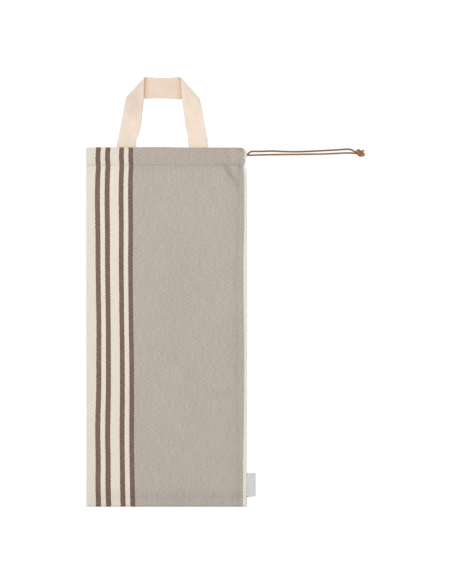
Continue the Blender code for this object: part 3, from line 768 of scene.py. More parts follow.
# %% Creases
Crease = namedtuple("Crease", "across_from up_from across_to up_to half_width height")
DRAG_CREASES = table_of(  # ridges and troughs that the drawstring pulls into the front near the mouth
    Crease,
    (259.0, 676.0, 271.0, 632.0, 4.2, -1.6), (256.0, 650.0, 286.0, 592.0, 4.8, -2.0),
    (275.0, 674.0, 281.0, 640.0, 4.6, 1.0), (252.0, 636.0, 277.0, 588.0, 6.5, 1.1),
    (236.0, 640.0, 268.0, 628.0, 4.5, -0.8), (226.0, 660.0, 254.0, 604.0, 9.0, 0.5),
    (14.0, 655.0, 26.0, 606.0, 6.0, 0.4),
)
SMALL_CREASES = table_of(  # what handling leaves in the cloth
    Crease,
    (256.0, 640.0, 276.0, 560.0, 5.0, -0.45), (240.0, 636.0, 286.0, 590.0, 4.0, 0.35),
    (276.0, 645.0, 292.0, 655.0, 2.6, 0.5), (268.0, 652.0, 293.0, 659.0, 2.4, -0.45),
    (262.0, 668.0, 292.0, 662.0, 2.4, 0.4), (30.0, 668.0, 44.0, 640.0, 4.0, 0.3),
    (120.0, 636.0, 134.0, 588.0, 7.0, -0.3), (186.0, 634.0, 196.0, 592.0, 6.0, 0.3),
    (262.0, 4.0, 292.0, 34.0, 5.0, 0.4), (8.0, 30.0, 34.0, 6.0, 6.0, -0.35),
    (268.0, 92.0, 295.0, 66.0, 5.0, 0.4), (270.0, 8.0, 294.0, 20.0, 4.0, -0.35),
)
CREASE_REACH = 3.0  # in half widths
CREASE_ENDS = 0.5  # a smaller power makes a crease's two ends blunter


def crease_height(creases, across, up):
    """Each crease is a straight ridge or trough that fades out at both ends and to both sides."""
    total = 0.0
    for row in creases:
        run = (row.across_to - row.across_from, row.up_to - row.up_from)
        here = (across - row.across_from, up - row.up_from)
        length = math.hypot(*run)
        share = (here[0] * run[0] + here[1] * run[1]) / length**2
        beside = abs(here[0] * run[1] - here[1] * run[0]) / length
        if 0.0 < share < 1.0 and beside < CREASE_REACH * row.half_width:
            total += row.height * math.sin(math.pi * share) ** CREASE_ENDS * bell(beside, row.half_width)
    return total


print(len(DRAG_CREASES), "creases from the drawstring,", len(SMALL_CREASES), "from handling")

# %% Valley beside the side seam
ValleyRow = namedtuple("ValleyRow", "up across")
SEAM_VALLEY = table_of(  # a shallow valley where the cloth turns down to the pressed side seam
    ValleyRow,
    (0.0, 283.0), (50.0, 283.2), (125.0, 283.6), (200.0, 281.4), (237.0, 282.3), (312.0, 282.3),
    (386.0, 279.9), (461.0, 281.4), (536.0, 284.2), (592.0, 284.2), (620.0, 283.0),
)
VALLEY_WIDTH = 3.0
VALLEY_END = (596.0, 622.0)


def valley_share(across, up):
    """1 along the middle of the valley beside the side seam, 0 away from it and in the channel."""
    beside = across - table_value(SEAM_VALLEY, up)
    return bell(beside, VALLEY_WIDTH) * (1.0 - smooth_step(up, *VALLEY_END))


print("half way up, the valley lies", round(table_value(SEAM_VALLEY, 336)), "mm from the fold")

# %% Puckers along the seams
Ripple = namedtuple("Ripple", "length phase share")
PUCKERS = (Ripple(23.0, 0.0, 0.5), Ripple(13.7, 1.3, 0.3), Ripple(37.0, 2.6, 0.35))
PUCKER_HEIGHT = 0.34
PUCKER_REACH = 13.0


def pucker(along, away):
    """Ripples along a seam that die out away from it."""
    ripple = sum(r.share * math.sin(2 * math.pi * along / r.length + r.phase) for r in PUCKERS)
    return PUCKER_HEIGHT * ripple * math.exp(-away / PUCKER_REACH)


print("a seam's puckers come about every", PUCKERS[0].length, "mm")

# %% Height of the front
BODY_HEIGHT = 10.4
HEM_HEIGHT = 12.4
BODY_SHOULDER = 45.0
HEM_SHOULDER = 30.0
EDGE_ROUND = 1.3
STITCH_TROUGH = 0.18
STITCH_TROUGH_WIDTH = 2.2
BOTTOM_PUCKER_SHIFT = 40.0  # so that the bottom seam's puckers differ from the channel's
PUCKER_FADE = 6.0
SEAM_SWELL_FROM = 200.0
CHANNEL_CALM = 0.8  # how much of the long waves the stiff channel takes away
VALLEY_DEPTH = 0.5


def front_height(across, up):
    """How high the outer face of the front lies off the table."""
    hem = hem_share(up)
    start = fold_height(up) / 2
    end = seam_across(up) - EDGE_ROUND
    shoulder = mix(BODY_SHOULDER, HEM_SHOULDER, hem)
    rise = dome(min(across - start, end - across) / shoulder) * dome(up / BODY_SHOULDER)
    edge = mix(fold_height(up), seam_height(up), smooth_step(across, SEAM_SWELL_FROM, end))
    crown = mix(BODY_HEIGHT, HEM_HEIGHT, hem)
    pull = STITCH_TROUGH * bell(up - STITCH_LINE, STITCH_TROUGH_WIDTH)
    waved = wave_height(across, up) * (1.0 - CHANNEL_CALM * hem)
    loose = waved + crease_height(DRAG_CREASES, across, up) - pull
    small = crease_height(SMALL_CREASES, across, up) + pucker(across, abs(up - STITCH_LINE))
    small += pucker(up, max(end - across, 0.0)) + pucker(across + BOTTOM_PUCKER_SHIFT, up)
    small -= VALLEY_DEPTH * valley_share(across, up)
    edge_fade = smooth_step(min(across - start, end - across, up), 0.0, PUCKER_FADE)
    return edge + (crown - edge + loose) * rise + small * edge_fade


print("the front's middle lies", round(front_height(150, 330), 1), "mm high")

# %% Height of the back
BACK_TROUGH = 0.45
BACK_TROUGH_FADE = (1.0, 5.0)
BACK_REST = 25.0
BACK_LIFT = 0.7


def back_height(across, up):
    """The back rests on the table, all but a few low waves and the trough of its stitching."""
    end = seam_across(up) - EDGE_ROUND
    inside = smooth_step(min(across, end - across, up), 0.0, BACK_REST)
    lifted = max(0.0, wave_height(1.4 * across + 60.0, 1.3 * up)) * BACK_LIFT
    trough = BACK_TROUGH * bell(up - STITCH_LINE, STITCH_TROUGH_WIDTH)
    pull = trough * smooth_step(min(across, end - across), *BACK_TROUGH_FADE)
    return lifted * inside * (1.0 - hem_share(up)) + pull


print("the channel's stitches lift the back by", round(back_height(150, STITCH_LINE), 2), "mm")

# %% [markdown]
# ## Bag cloth: a closed skin of rings
# Each ring goes once round the bag at one height: fold, back, seam and front. Rings climb the outside,
# turn over the rim and go down again on the inside, a cloth's thickness in, so the mouth really is open.
# The columns stay in order from ring to ring, which is what lets neighbouring rings be joined by plain
# four-sided faces.

# %% Columns and rows
HEM_WALL = 2.1
END_ROUND = 2.6
RIM_START = BAG_LENGTH - HEM_WALL / 2  # above it, the rim turns over to the inside
Zone = namedtuple("Zone", "start step")
COLUMN_ZONES = (Zone(0.0, 3.4), Zone(54.0, 4.2), Zone(222.0, 3.2), Zone(250.0, 2.2))
BOTTOM_ROWS = (0.25, 0.0, 0.2, 0.7, 1.5, END_ROUND)
BOTTOM_SQUEEZE = (0.1, 0.42, 0.66, 0.86, 0.97, 1.0)  # how far front and back are apart in each
ROW_ZONES = (  # the rows lie closer at the label's slot, at the stitches and at the drawstring's slit
    Zone(4.0, 3.0),
    Zone(LABEL_BOTTOM - 3.0, 0.7),
    Zone(LABEL_BOTTOM + 1.0, 3.0),
    Zone(LABEL_TOP - 1.0, 0.7),
    Zone(LABEL_TOP + 3.0, 4.2),
    Zone(580.0, 2.6),
    Zone(STITCH_LINE - 8.0, 1.3),
    Zone(STITCH_LINE + 8.0, 1.9),
    Zone(EXIT_UP - EXIT_HALF_LENGTH - 1.0, 0.6),
    Zone(EXIT_UP + EXIT_HALF_LENGTH + 1.0, 1.2),
)


def zoned(zones, end):
    """Places from the first zone's start to an end, with each zone's own step between them."""
    stops = [zone.start for zone in zones[1:]] + [end]
    return [at for zone, stop in zip(zones, stops) for at in spaced(zone.start, stop, zone.step)] + [end]


column_shares = [across / BAG_WIDTH for across in zoned(COLUMN_ZONES, BAG_WIDTH)]
upper_rows = zoned(ROW_ZONES, RIM_START)
print(len(column_shares), "columns,", len(BOTTOM_ROWS) + len(upper_rows), "rows")

# %% Rounded corners and the seam's lips
CORNER_ROUND = 1.2
LIP_ANGLES = tuple(math.radians(angle) for angle in (30.0, 60.0, 90.0))
LIP_ROUND = 0.5


def corner_inset(up):
    """The small rounding of the two bottom corners."""
    rest = max(0.0, CORNER_ROUND - up)
    return CORNER_ROUND - math.sqrt(CORNER_ROUND**2 - rest**2)


def seam_lip(right, up, face):
    """The seam's rounded edge and its groove, from the back's face (-1) or the front's (1)."""
    depth, gap, middle = seam_opening(up)
    height = seam_height(up)
    corner = height - EDGE_ROUND if face > 0 else EDGE_ROUND
    lip = [
        (right - EDGE_ROUND + EDGE_ROUND * math.sin(t), corner + face * EDGE_ROUND * math.cos(t))
        for t in LIP_ANGLES
    ]
    inner = middle + face * gap
    turned = min(LIP_ROUND, 0.4 * abs(corner - inner))
    return lip + [  # two points round the lip, one on the groove's wall, and one at its narrower bottom
        (right - 0.1 * turned, inner + face * turned),
        (right - 0.5 * turned, inner + face * 0.3 * turned),
        (right - mix(turned, depth, 0.4), inner),
        (right - depth, middle + face * gap * 0.6),
    ]


print("each lip of the seam has", len(seam_lip(BAG_WIDTH, EXIT_UP, 1)), "points")

# %% Rings of the outside
FOLD_ANGLES = tuple(math.radians(angle) for angle in (4.0, 20.0, 38.0, 56.0, 74.0))
FOLD_IN = 0.4
FOLD_IN_FADE = (150.0, 300.0)
BACK_RIM_DROP = 1.0
BOTTOM_LIFT = 0.8
BOTTOM_LIFT_FADE = 40.0


def outer_ring(up):
    """One ring of the outside: its back and its front, each from the fold to the seam."""
    left = corner_inset(up) + FOLD_IN * (1.0 - smooth_step(up, *FOLD_IN_FADE))
    right = seam_across(up) - corner_inset(up)
    radius = fold_height(up) / 2
    flat = [mix(left + radius, right - EDGE_ROUND, share) for share in column_shares]
    fold = [
        (left + radius - radius * math.cos(angle), radius * math.sin(angle)) for angle in FOLD_ANGLES
    ]
    lower = [(across, radius - high) for across, high in fold]
    lower += [(across, back_height(across, up)) for across in flat] + seam_lip(right, up, -1)
    upper = [(across, radius + high) for across, high in fold]
    upper += [(across, front_height(across, up)) for across in flat] + seam_lip(right, up, 1)
    return lower, upper


def squeezed(ring, row):
    """Draws front and back together over the rounded bottom edge, to a fine groove at its middle."""
    share = BOTTOM_SQUEEZE[row] if row < len(BOTTOM_ROWS) else 1.0
    return [[(across, mix(EDGE_HEIGHT / 2, high, share)) for across, high in side] for side in ring]


def with_rim(ring, up):
    """Gives each point its place up the bag, which follows the mouth's slightly wavy rim."""
    share = smooth_step(up, STITCH_LINE, RIM_START)
    lift = BOTTOM_LIFT * (1.0 - smooth_step(up, 0.0, BOTTOM_LIFT_FADE))
    return [
        [(a, up + lift + share * (table_value(MOUTH_RIM, a) - drop), z) for a, z in side]
        for side, drop in zip(ring, (BACK_RIM_DROP, 0.0))
    ]


outside = [
    with_rim(squeezed(outer_ring(up), row), up)
    for row, up in enumerate(list(BOTTOM_ROWS) + upper_rows)
]
print(len(outside), "rings outside,", 2 * len(outside[0][0]), "points each")

# %% Rings of the inside
CLOTH = 1.1
SEAM_ALLOWANCE = 10.0
TURNED_EDGE = 0.6
INNER_FROM, INNER_TO = SEAM_ALLOWANCE + 3.0, STITCH_LINE - 1.0
INNER_BULGE = 0.25


def inner_ring(up, layers):
    """One ring of the inside, so many layers of cloth in from the outside's faces."""
    radius = fold_height(up) / 2
    inner = radius - layers
    right = seam_across(up) - SEAM_ALLOWANCE
    flat = [mix(radius, right, share) for share in column_shares]
    fold = [(radius - inner * math.cos(angle), inner * math.sin(angle)) for angle in FOLD_ANGLES]
    low, top = layers + back_height(right, up), front_height(right, up) - layers
    lower = [(a, radius - z) for a, z in fold] + [(a, layers + back_height(a, up)) for a in flat]
    upper = [(a, radius + z) for a, z in fold] + [(a, front_height(a, up) - layers) for a in flat]
    extra = len(outside[0][0]) - len(lower)
    for k in range(1, extra + 1):
        turn = math.pi * k / (2 * extra + 1)
        bulge = INNER_BULGE * (top - low) * math.sin(turn)
        rise = (top - low) * 0.5 * (1 - math.cos(turn))
        lower.append((right + bulge, low + rise))
        upper.append((right + bulge, top - rise))
    return with_rim((lower, upper), up)


body_rows = [up for up in upper_rows if INNER_FROM < up < INNER_TO][::2]
inside = [inner_ring(up, CLOTH) for up in [SEAM_ALLOWANCE] + body_rows + [STITCH_LINE - TURNED_EDGE]]
inside += [inner_ring(up, HEM_WALL) for up in upper_rows if up >= STITCH_LINE]
print(len(inside), "rings inside")

# %% Rings over the rim
RIM_STEPS = 6


def rim_rings(outer, inner):
    """A half round turn from the outside's last ring to the inside's."""
    rings = []
    for k in range(1, RIM_STEPS):
        turn = math.pi * k / RIM_STEPS
        share, lift = 0.5 * (1 - math.cos(turn)), 0.5 * HEM_WALL * math.sin(turn)
        ring = []
        for sides in zip(outer, inner):
            drawn = [[mix(o, i, share) for o, i in zip(*points)] for points in zip(*sides)]
            ring.append([(across, up + lift, high) for across, up, high in drawn])
        rings.append(ring)
    return rings


rings = outside + rim_rings(outside[-1], inside[-1]) + inside[::-1]
print(len(rings), "rings in all")

# %% [markdown]
# ## Bag cloth: where the stripes run
# The stripes are woven, so they follow the cloth and not the table. Each point therefore carries a UV
# coordinate in the cloth's own measure: U across the threads from the fold, V up the bag. The panel was
# cut slightly askew and stretched near its bottom seam, so the stripes drift a little, and two short
# tables say by how much. Painting the stripes by position would be simpler, and would look printed.

# %% Cloth coordinates
DriftRow = namedtuple("DriftRow", "up shift stretch")
STRIPE_DRIFT = table_of(  # where the woven stripes lie on the front, against an evenly cut panel
    DriftRow,
    (0.0, 1.1, 1.042), (31.0, 0.7, 1.037), (49.0, 0.5, 1.036), (68.0, 1.0, 1.025), (87.0, 1.2, 1.019),
    (124.0, 0.4, 1.024), (152.0, 0.3, 1.025), (199.0, 1.8, 1.010), (236.0, 2.7, 0.998),
    (292.0, 2.9, 0.990), (329.0, 3.3, 0.976), (367.0, 3.1, 0.973), (404.0, 2.4, 0.977),
    (460.0, 1.5, 0.983), (501.0, 1.4, 0.988), (529.0, 0.8, 0.997), (572.0, 0.2, 0.999),
    (600.0, 0.5, 0.996), (619.0, 1.2, 0.991), (636.0, 2.1, 0.990), (645.0, 1.5, 0.994),
    (654.0, 1.2, 0.993), (661.0, 1.6, 0.990), (666.0, 2.3, 0.983), (671.0, 2.8, 0.977),
)
BorderRow = namedtuple("BorderRow", "up across")
SEAM_BORDER = table_of(  # where the taupe ends and the cream selvedge begins, close to the side seam
    BorderRow,
    (0.0, 292.4), (88.0, 293.3), (162.0, 294.3), (274.0, 295.1), (349.0, 294.4), (424.0, 293.7),
    (461.0, 293.6), (498.0, 294.6), (564.0, 295.3), (608.0, 295.0), (622.0, 294.6), (636.0, 293.7),
    (641.0, 294.4), (646.0, 296.0), (651.5, 294.4), (656.0, 295.7), (661.0, 296.1), (665.0, 294.9),
    (667.5, 293.9), (670.0, 292.5),
)
EVEN_BORDER = 294.0
DRIFT_BLEND = (96.0, 286.0)  # across the bag, from the stripes' drift to the seam's
FOLD_BLEND = 5.0


def cloth_across(across, up):
    """The cloth's own coordinate under a point of the front."""
    by_fold = (across - table_value(STRIPE_DRIFT, up)) / table_value(STRIPE_DRIFT, up, 2)
    by_seam = across + EVEN_BORDER - table_value(SEAM_BORDER, up)
    return mix(by_fold, by_seam, smooth_step(across, *DRIFT_BLEND))


def cloth_uv(across, up, is_front):
    """The back's stripes are counted left from the fold, as on the one woven panel."""
    if not is_front:
        return (-across * MM, up * MM)
    return (mix(across, cloth_across(across, up), smooth_step(across, 0.0, FOLD_BLEND)) * MM, up * MM)


print("the taupe ends", round(table_value(SEAM_BORDER, 300), 1), "mm from the fold at mid height")

# %% Painted shade on the cloth
# Painted shade: the front is darkened along creases, seams, the mouth's rim and the valley beside the side
# seam.
VALLEY_PAINTED_SHADE = 0.055
PAINTED_SHADE_LINES = table_of(  # painted shade along the drawstring's creases, the seams, the mouth's rim and a few old folds; with a minus, painted light
    Crease,
    (257.0, 684.0, 270.5, 634.0, 4.6, 0.085), (252.0, 647.0, 284.0, 600.0, 4.4, 0.15),
    (272.0, 628.0, 285.0, 586.0, 3.6, 0.06), (236.0, 635.0, 276.0, 632.0, 4.0, 0.05),
    (284.0, 638.0, 288.0, 631.0, 2.4, 0.24), (262.0, 632.0, 272.0, 614.0, 3.0, 0.05),
    (100.0, 670.6, 300.0, 670.6, 1.6, 0.05), (226.0, 670.6, 268.0, 670.6, 1.8, 0.1),
    (283.0, 674.0, 291.5, 662.0, 3.0, 0.2), (262.0, 657.0, 287.0, 655.0, 7.0, -0.03),
    (284.0, 645.0, 286.0, 596.0, 3.2, 0.09), (236.0, 212.7, 279.0, 212.7, 3.8, 0.055),
    (90.0, 627.0, 208.0, 635.0, 4.5, 0.045), (88.0, 24.0, 195.0, 16.0, 14.0, 0.03),
    (274.0, 306.0, 282.0, 228.0, 5.0, 0.03), (-200.0, 1.5, 500.0, 1.5, 3.2, 0.075),
    (-200.0, 12.0, 500.0, 12.0, 2.2, -0.05), (-200.0, 18.0, 500.0, 18.0, 12.0, 0.05),
    (286.0, -60.0, 286.0, 110.0, 5.0, 0.06),
)


def painted_shade_share(across, up):
    """How much shade is painted on the cloth at a point of the front; below 0 it is painted light."""
    return crease_height(PAINTED_SHADE_LINES, across, up) + VALLEY_PAINTED_SHADE * valley_share(across, up)


# painted shade beside the side seam near the bottom
print("the side seam has greyed by", round(painted_shade_share(286, 20), 2), "near the bottom")

# %% One way to close every skin
def face_outwards(mesh):
    """Turns a closed mesh the right way round if its faces point in."""
    mesh.calc_loop_triangles()
    volume = 0.0
    for triangle in mesh.loop_triangles:
        one, two, three = (mesh.vertices[corner].co for corner in triangle.vertices)
        volume += one.dot(two.cross(three))
    if volume < 0:
        mesh.flip_normals()


def tube_mesh(name, ring, points, uv_name, uvs):
    """Joins points, given ring after ring, into one skin with a cap at both ends, and gives it its UV."""
    last = len(points) - ring
    faces = []
    for start in range(0, last, ring):
        for i in range(ring):
            j = (i + 1) % ring
            faces.append((start + i, start + j, start + ring + j, start + ring + i))
    for start in (0, last):
        for i in range(ring // 2 - 1):
            cap = (start + i, start + i + 1, start + ring - 2 - i, start + ring - 1 - i)
            faces.append(cap if start else cap[::-1])
    mesh = bpy.data.meshes.new(name)
    mesh.from_pydata(points, [], faces)
    layer = mesh.uv_layers.new(name=uv_name)
    layer.data.foreach_set("uv", [v for loop in mesh.loops for v in uvs[loop.vertex_index]])
    mesh.shade_smooth()
    face_outwards(mesh)
    return mesh


def note(mesh, label, values):
    """Keeps one number for each point, which the finish can read."""
    mesh.attributes.new(label, "FLOAT", "POINT").data.foreach_set("value", values)


print("the cloth, the strap and the label are all closed alike")


# %% Build the bag cloth
def skin_mesh(name, rings):
    """Turns rings of (lower, upper) sides into a skin that knows its cloth and where shade is painted on
    it.
    """
    points, uvs, painted_shade = [], [], []
    for lower, upper in rings:
        for side, is_front in ((lower, False), (upper[::-1], True)):
            points += [place(*point) for point in side]
            uvs += [cloth_uv(point[0], point[1], is_front) for point in side]
            # painted shade, on the front only
            painted_shade += [painted_shade_share(point[0], point[1]) * is_front for point in side]
    mesh = tube_mesh(name, 2 * len(rings[0][0]), points, "cloth", uvs)
    note(mesh, "painted_shade", painted_shade)
    return mesh


bag_cloth = add_object("bag_cloth", skin_mesh("bag_cloth", rings))
print("bag cloth has", len(bag_cloth.data.polygons), "faces")

# %% [markdown]
# ## Striped linen
# The cloth is taupe, with pairs of brown stripes on a cream ground beside the fold. Stripes in the warp
# are bands of coloured thread. A colour ramp over the U coordinate could hold them, but Cycles stores a
# ramp as 256 samples, which is too coarse here. So Compare nodes ask of each band whether U lies in it. A
# woven edge is never ruled straight, so a small sawtooth and some noise shift it from thread to thread.
# The relief has three parts: the plain weave, thicker slubs both ways, and short raised dashes that lean
# and come in patches. The brown threads show it most and the cream ones least, so every colour has its
# own bite.

# %% Threads and their colours
CREAM = dyed(226, 218, 202)
BRIGHT_CREAM = dyed(231.5, 223, 207.5)
SELVEDGE_CREAM = dyed(235, 230, 217.5)
BROWN = dyed(118, 91, 81)
TAUPE = dyed(188, 177, 167)
Band = namedtuple("Band", "start end")
BROWN_BANDS = table_of(  # from left to right; the fold is at 0, and the back lies left of it
    Band,
    (-77.0, -67.9), (-59.0, -49.9), (-32.3, -23.1), (-14.2, -4.9), (16.5, 25.9), (34.6, 44.0),
    (60.8, 69.9), (78.4, 87.2),
)
TAUPE_BANDS = (Band(-294.0, -77.0), Band(87.2, 294.0))
BRIGHT_BANDS = (Band(25.0, 79.0),)  # the narrow grounds between the stripes are a little paler
SELVEDGE_BANDS = (Band(294.0, 320.0),)


def thread_bands(tree, at, bands):
    """1 where a coordinate lies in one of several bands of thread, 0 elsewhere."""
    found = 0.0
    for band in bands:
        middle, half_width = (band.start + band.end) / 2 * MM, (band.end - band.start) / 2 * MM
        found = calc(tree, "ADD", calc(tree, "COMPARE", at, middle, half_width), found)
    return found


print(len(BROWN_BANDS), "brown stripes, front and back")

# %% Waves and uneven grain
Grain = namedtuple("Grain", "scale stretch detail", defaults=(2.0,))


def waves(tree, value, length):
    """A sine with a given length along a coordinate."""
    return calc(tree, "SINE", calc(tree, "MULTIPLY", value, 2 * math.pi / length))


def stretched_noise(tree, vector, grain):
    """Noise drawn out along U or V: a grain's stretch is how many times finer it is along each."""
    mapped = add_node(tree, "ShaderNodeMapping", {"Vector": vector, "Scale": (*grain.stretch, 1.0)})
    return fine_noise(tree, mapped.outputs[0], grain.scale, grain.detail)


def uneven_noise(tree, vector, grain):
    """The same noise, as much below 0 as above it."""
    return calc(tree, "SUBTRACT", stretched_noise(tree, vector, grain), 0.5)


def uv_axes(tree, name):
    """A piece's own UV map, with its U and its V."""
    uv = add_node(tree, "ShaderNodeUVMap", uv_map=name).outputs[0]
    axes = add_node(tree, "ShaderNodeSeparateXYZ", {0: uv}).outputs
    return uv, axes["X"], axes["Y"]


print("a grain has a", ", a ".join(Grain._fields))

# %% Leaning dashes
DASH_HEIGHT = 0.0038
DASH_LENGTH = 0.0126
DASH_DRIFT = 7.0
DASH_CONTRAST = 1.2
DASH_PATCHES = Grain(60.0, (0.8, 1.2))
DASH_DRIFTS = Grain(15.0, (1.0, 1.0))


def leaning_dashes(tree, cloth, u, v):
    """Short raised dashes that climb as they go across, drift a little, and come in patches."""
    patch = calc(tree, "POWER", stretched_noise(tree, cloth, DASH_PATCHES), DASH_CONTRAST)
    drift = calc(tree, "MULTIPLY", stretched_noise(tree, cloth, DASH_DRIFTS), DASH_DRIFT)
    slant = add_up(tree, drift, (v, -2 * math.pi / DASH_HEIGHT), (u, 2 * math.pi / DASH_LENGTH))
    return calc(tree, "MULTIPLY", calc(tree, "SINE", slant), patch)


print("a dash is", 1000 * DASH_LENGTH, "mm long and climbs", 1000 * DASH_HEIGHT, "mm")

# %% Threads of every colour
EDGE_TOOTH = 0.0004
TOOTH_LENGTH = 0.0056
EDGE_WOBBLE = 0.0015
EDGE_WOBBLES = Grain(250.0, (0.1, 1.0))
FLECK_SHARE = 0.2
FLECK_DASHES = 2.0


def linen_threads(tree, cloth, u, v, dash, weft_slub):
    """The thread's colour at each place, and where the threads are taupe and where brown."""
    tooth = calc(tree, "PINGPONG", v, TOOTH_LENGTH / 2)
    wobble = uneven_noise(tree, cloth, EDGE_WOBBLES)
    at = add_up(tree, u, (tooth, EDGE_TOOTH / (TOOTH_LENGTH / 2)), (wobble, EDGE_WOBBLE))
    bright, selvedge, in_taupe, in_brown = (
        thread_bands(tree, at, bands)
        for bands in (BRIGHT_BANDS, SELVEDGE_BANDS, TAUPE_BANDS, BROWN_BANDS)
    )
    paler = blend_colours(tree, bright, CREAM, BRIGHT_CREAM)
    edged = blend_colours(tree, selvedge, paler, SELVEDGE_CREAM)
    ground = blend_colours(tree, in_taupe, edged, TAUPE)
    fleck = calc(tree, "MULTIPLY", add_up(tree, weft_slub, (dash, FLECK_DASHES)), FLECK_SHARE)
    flecked = blend_colours(tree, calc(tree, "MAXIMUM", fleck, 0.0), BROWN, TAUPE)
    return blend_colours(tree, in_brown, ground, flecked), in_taupe, in_brown


print("a stripe's edge has a tooth every", 1000 * TOOTH_LENGTH, "mm")

# %% Finish of the striped linen
WEAVE_PITCH = 0.0013
WEFT_SLUBS = Grain(700.0, (0.22, 1.0))
WARP_SLUBS = Grain(500.0, (1.0, 0.06))
CLOTH_CLOUDS = Grain(14.0, (1.0, 0.6))
TONE_SHARES = (0.26, 0.06, 0.5, 0.26, 0.1)  # of dashes, weave, slubs of the weft and the warp, clouds
RELIEF_SHARES = (0.3, 0.5, 1.3, 1.1)  # of the same, without the clouds
CREAM_BITE, TAUPE_BITE, BROWN_BITE = 0.5, 1.12, 1.6
# Painted shade: the whole channel above its stitches is painted a little darker.
CHANNEL_PAINTED_SHADE = 0.05
CHANNEL_PAINTED_SHADE_BLEND = 0.003
CLOTH_RELIEF = 0.00022
CLOTH_SHEEN_ROUGHNESS = 0.6


def striped_linen():
    finish, tree, shader = start_material("striped_linen", roughness=0.9, sheen=0.12)
    shader.inputs["Sheen Roughness"].default_value = CLOTH_SHEEN_ROUGHNESS
    cloth, u, v = uv_axes(tree, "cloth")
    weave = calc(tree, "MULTIPLY", waves(tree, u, 2 * WEAVE_PITCH), waves(tree, v, 2 * WEAVE_PITCH))
    dash = leaning_dashes(tree, cloth, u, v)
    weft_slub, warp_slub, cloud = (
        uneven_noise(tree, cloth, grain) for grain in (WEFT_SLUBS, WARP_SLUBS, CLOTH_CLOUDS)
    )
    parts = (dash, weave, weft_slub, warp_slub, cloud)
    threads, in_taupe, in_brown = linen_threads(tree, cloth, u, v, dash, weft_slub)
    bites = (in_taupe, TAUPE_BITE - CREAM_BITE), (in_brown, BROWN_BITE - CREAM_BITE)
    bite = add_up(tree, CREAM_BITE, *bites)
    tone = add_up(tree, 0.0, *zip(parts, TONE_SHARES))
    shade = calc(tree, "MULTIPLY_ADD", tone, bite, 1.0)
    stitched = STITCH_LINE * MM
    # painted shade over the channel
    channel = map_range(tree, v, stitched - CHANNEL_PAINTED_SHADE_BLEND, stitched, CHANNEL_PAINTED_SHADE)
    # painted shade along the creases and seams, added to the channel's painted shade
    painted_shade_total = calc(tree, "ADD", attribute(tree, "painted_shade"), channel)
    shade = calc(tree, "MULTIPLY", shade, calc(tree, "SUBTRACT", 1.0, painted_shade_total))
    colour_it(tree, shader, threads, shade)
    relief = add_up(tree, 0.0, *zip(parts, RELIEF_SHARES))
    add_bump(tree, shader, calc(tree, "MULTIPLY", relief, bite), CLOTH_RELIEF)
    roughen(tree, shader, weft_slub, share=0.2, least=0.88)
    return finish


bag_cloth.data.materials.append(striped_linen())
print("the weave repeats every", 2000 * WEAVE_PITCH, "mm")

# %% [markdown]
# ## Webbing handle
# The handle is one length of cotton webbing. Both ends go down inside the mouth and are sewn to the back.
# At the top each leg folds over at a slant and lies on the crosspiece, so the loop has two flat corners.
# A strap is easiest as a ladder: rungs from edge to edge, first up the left leg, round its fold, across,
# and back down the right leg. Each rung also knows which way its upper face looks.

# %% Where the strap's two edges run
HANDLE_TOP = 131.0
LegRow = namedtuple("LegRow", "above outer inner")
LEFT_LEG = table_of(  # heights above the mouth, and where the strap's two edges lie across the bag
    LegRow,
    (-32.0, 49.5, 93.0), (0.0, 56.5, 93.0), (12.5, 58.8, 93.2), (17.0, 59.6, 94.8), (24.0, 60.8, 97.9),
    (38.0, 64.2, 101.5), (50.0, 66.5, 103.2), (68.0, 69.5, 104.9), (78.0, 71.3, 106.3),
    (86.0, 72.9, 107.2),
)
RIGHT_LEG = table_of(
    LegRow,
    (-32.0, 235.0, 195.8), (0.0, 227.9, 191.7), (12.5, 226.1, 190.0), (24.0, 224.0, 188.6),
    (38.0, 221.6, 186.0), (50.0, 219.2, 184.0), (68.0, 216.3, 181.7), (77.0, 214.5, 180.2),
    (84.0, 213.0, 179.2),
)
Corner = namedtuple("Corner", "across above")
LEFT_CREASE = (Corner(74.0, 93.0), Corner(108.6, 130.6))  # outer and inner end of each slanting fold
RIGHT_CREASE = (Corner(212.0, 90.6), Corner(176.2, 130.4))
CrossRow = namedtuple("CrossRow", "across bottom top")
CROSSPIECE = table_of(  # the strap's edges between the two folds, above the mouth
    CrossRow,
    (113.0, 90.2, 130.7), (121.0, 90.7, 130.0), (132.0, 91.3, 129.2), (143.0, 90.9, 128.9),
    (154.0, 90.7, 129.1), (165.0, 90.0, 129.9), (172.0, 89.0, 130.5),
)
print("the handle stands", HANDLE_TOP, "mm above the mouth")

# %% Rungs of the legs and of the crosspiece
Rung = namedtuple("Rung", "one two facing")
STRAP = 1.7
GAP = 0.3
BACK_HEM = 2.2
CROSSPIECE_HIGH = STRAP / 2
LEG_HIGH = BACK_HEM + GAP + STRAP / 2
LEG_SAG = 0.5
FOLD_HIGH = 2.8
FOLDS_FROM = 90.0  # how far above the mouth the legs have come down to their fold
LEG_STEP = 3.0
CROSS_STEP = 4.0


def leg_high(above):
    """The legs dip a little between the mouth and their fold."""
    share = kept_share(above / FOLDS_FROM)
    return mix(LEG_HIGH, FOLD_HIGH, share) - LEG_SAG * math.sin(math.pi * share)


def two_edges(rows, at):
    """Where the strap's two edges run, from a table with a column for each."""
    return table_value(rows, at), table_value(rows, at, 2)


def leg_rungs(leg):
    rungs = []
    for above in spaced(leg[0].above, leg[-1].above, LEG_STEP) + [leg[-1].above]:
        up, high = BAG_LENGTH + above, leg_high(above)
        ends = (Vector((across, up, high)) for across in two_edges(leg, above))
        rungs.append(Rung(*ends, Vector((0.0, 0.0, 1.0))))
    return rungs


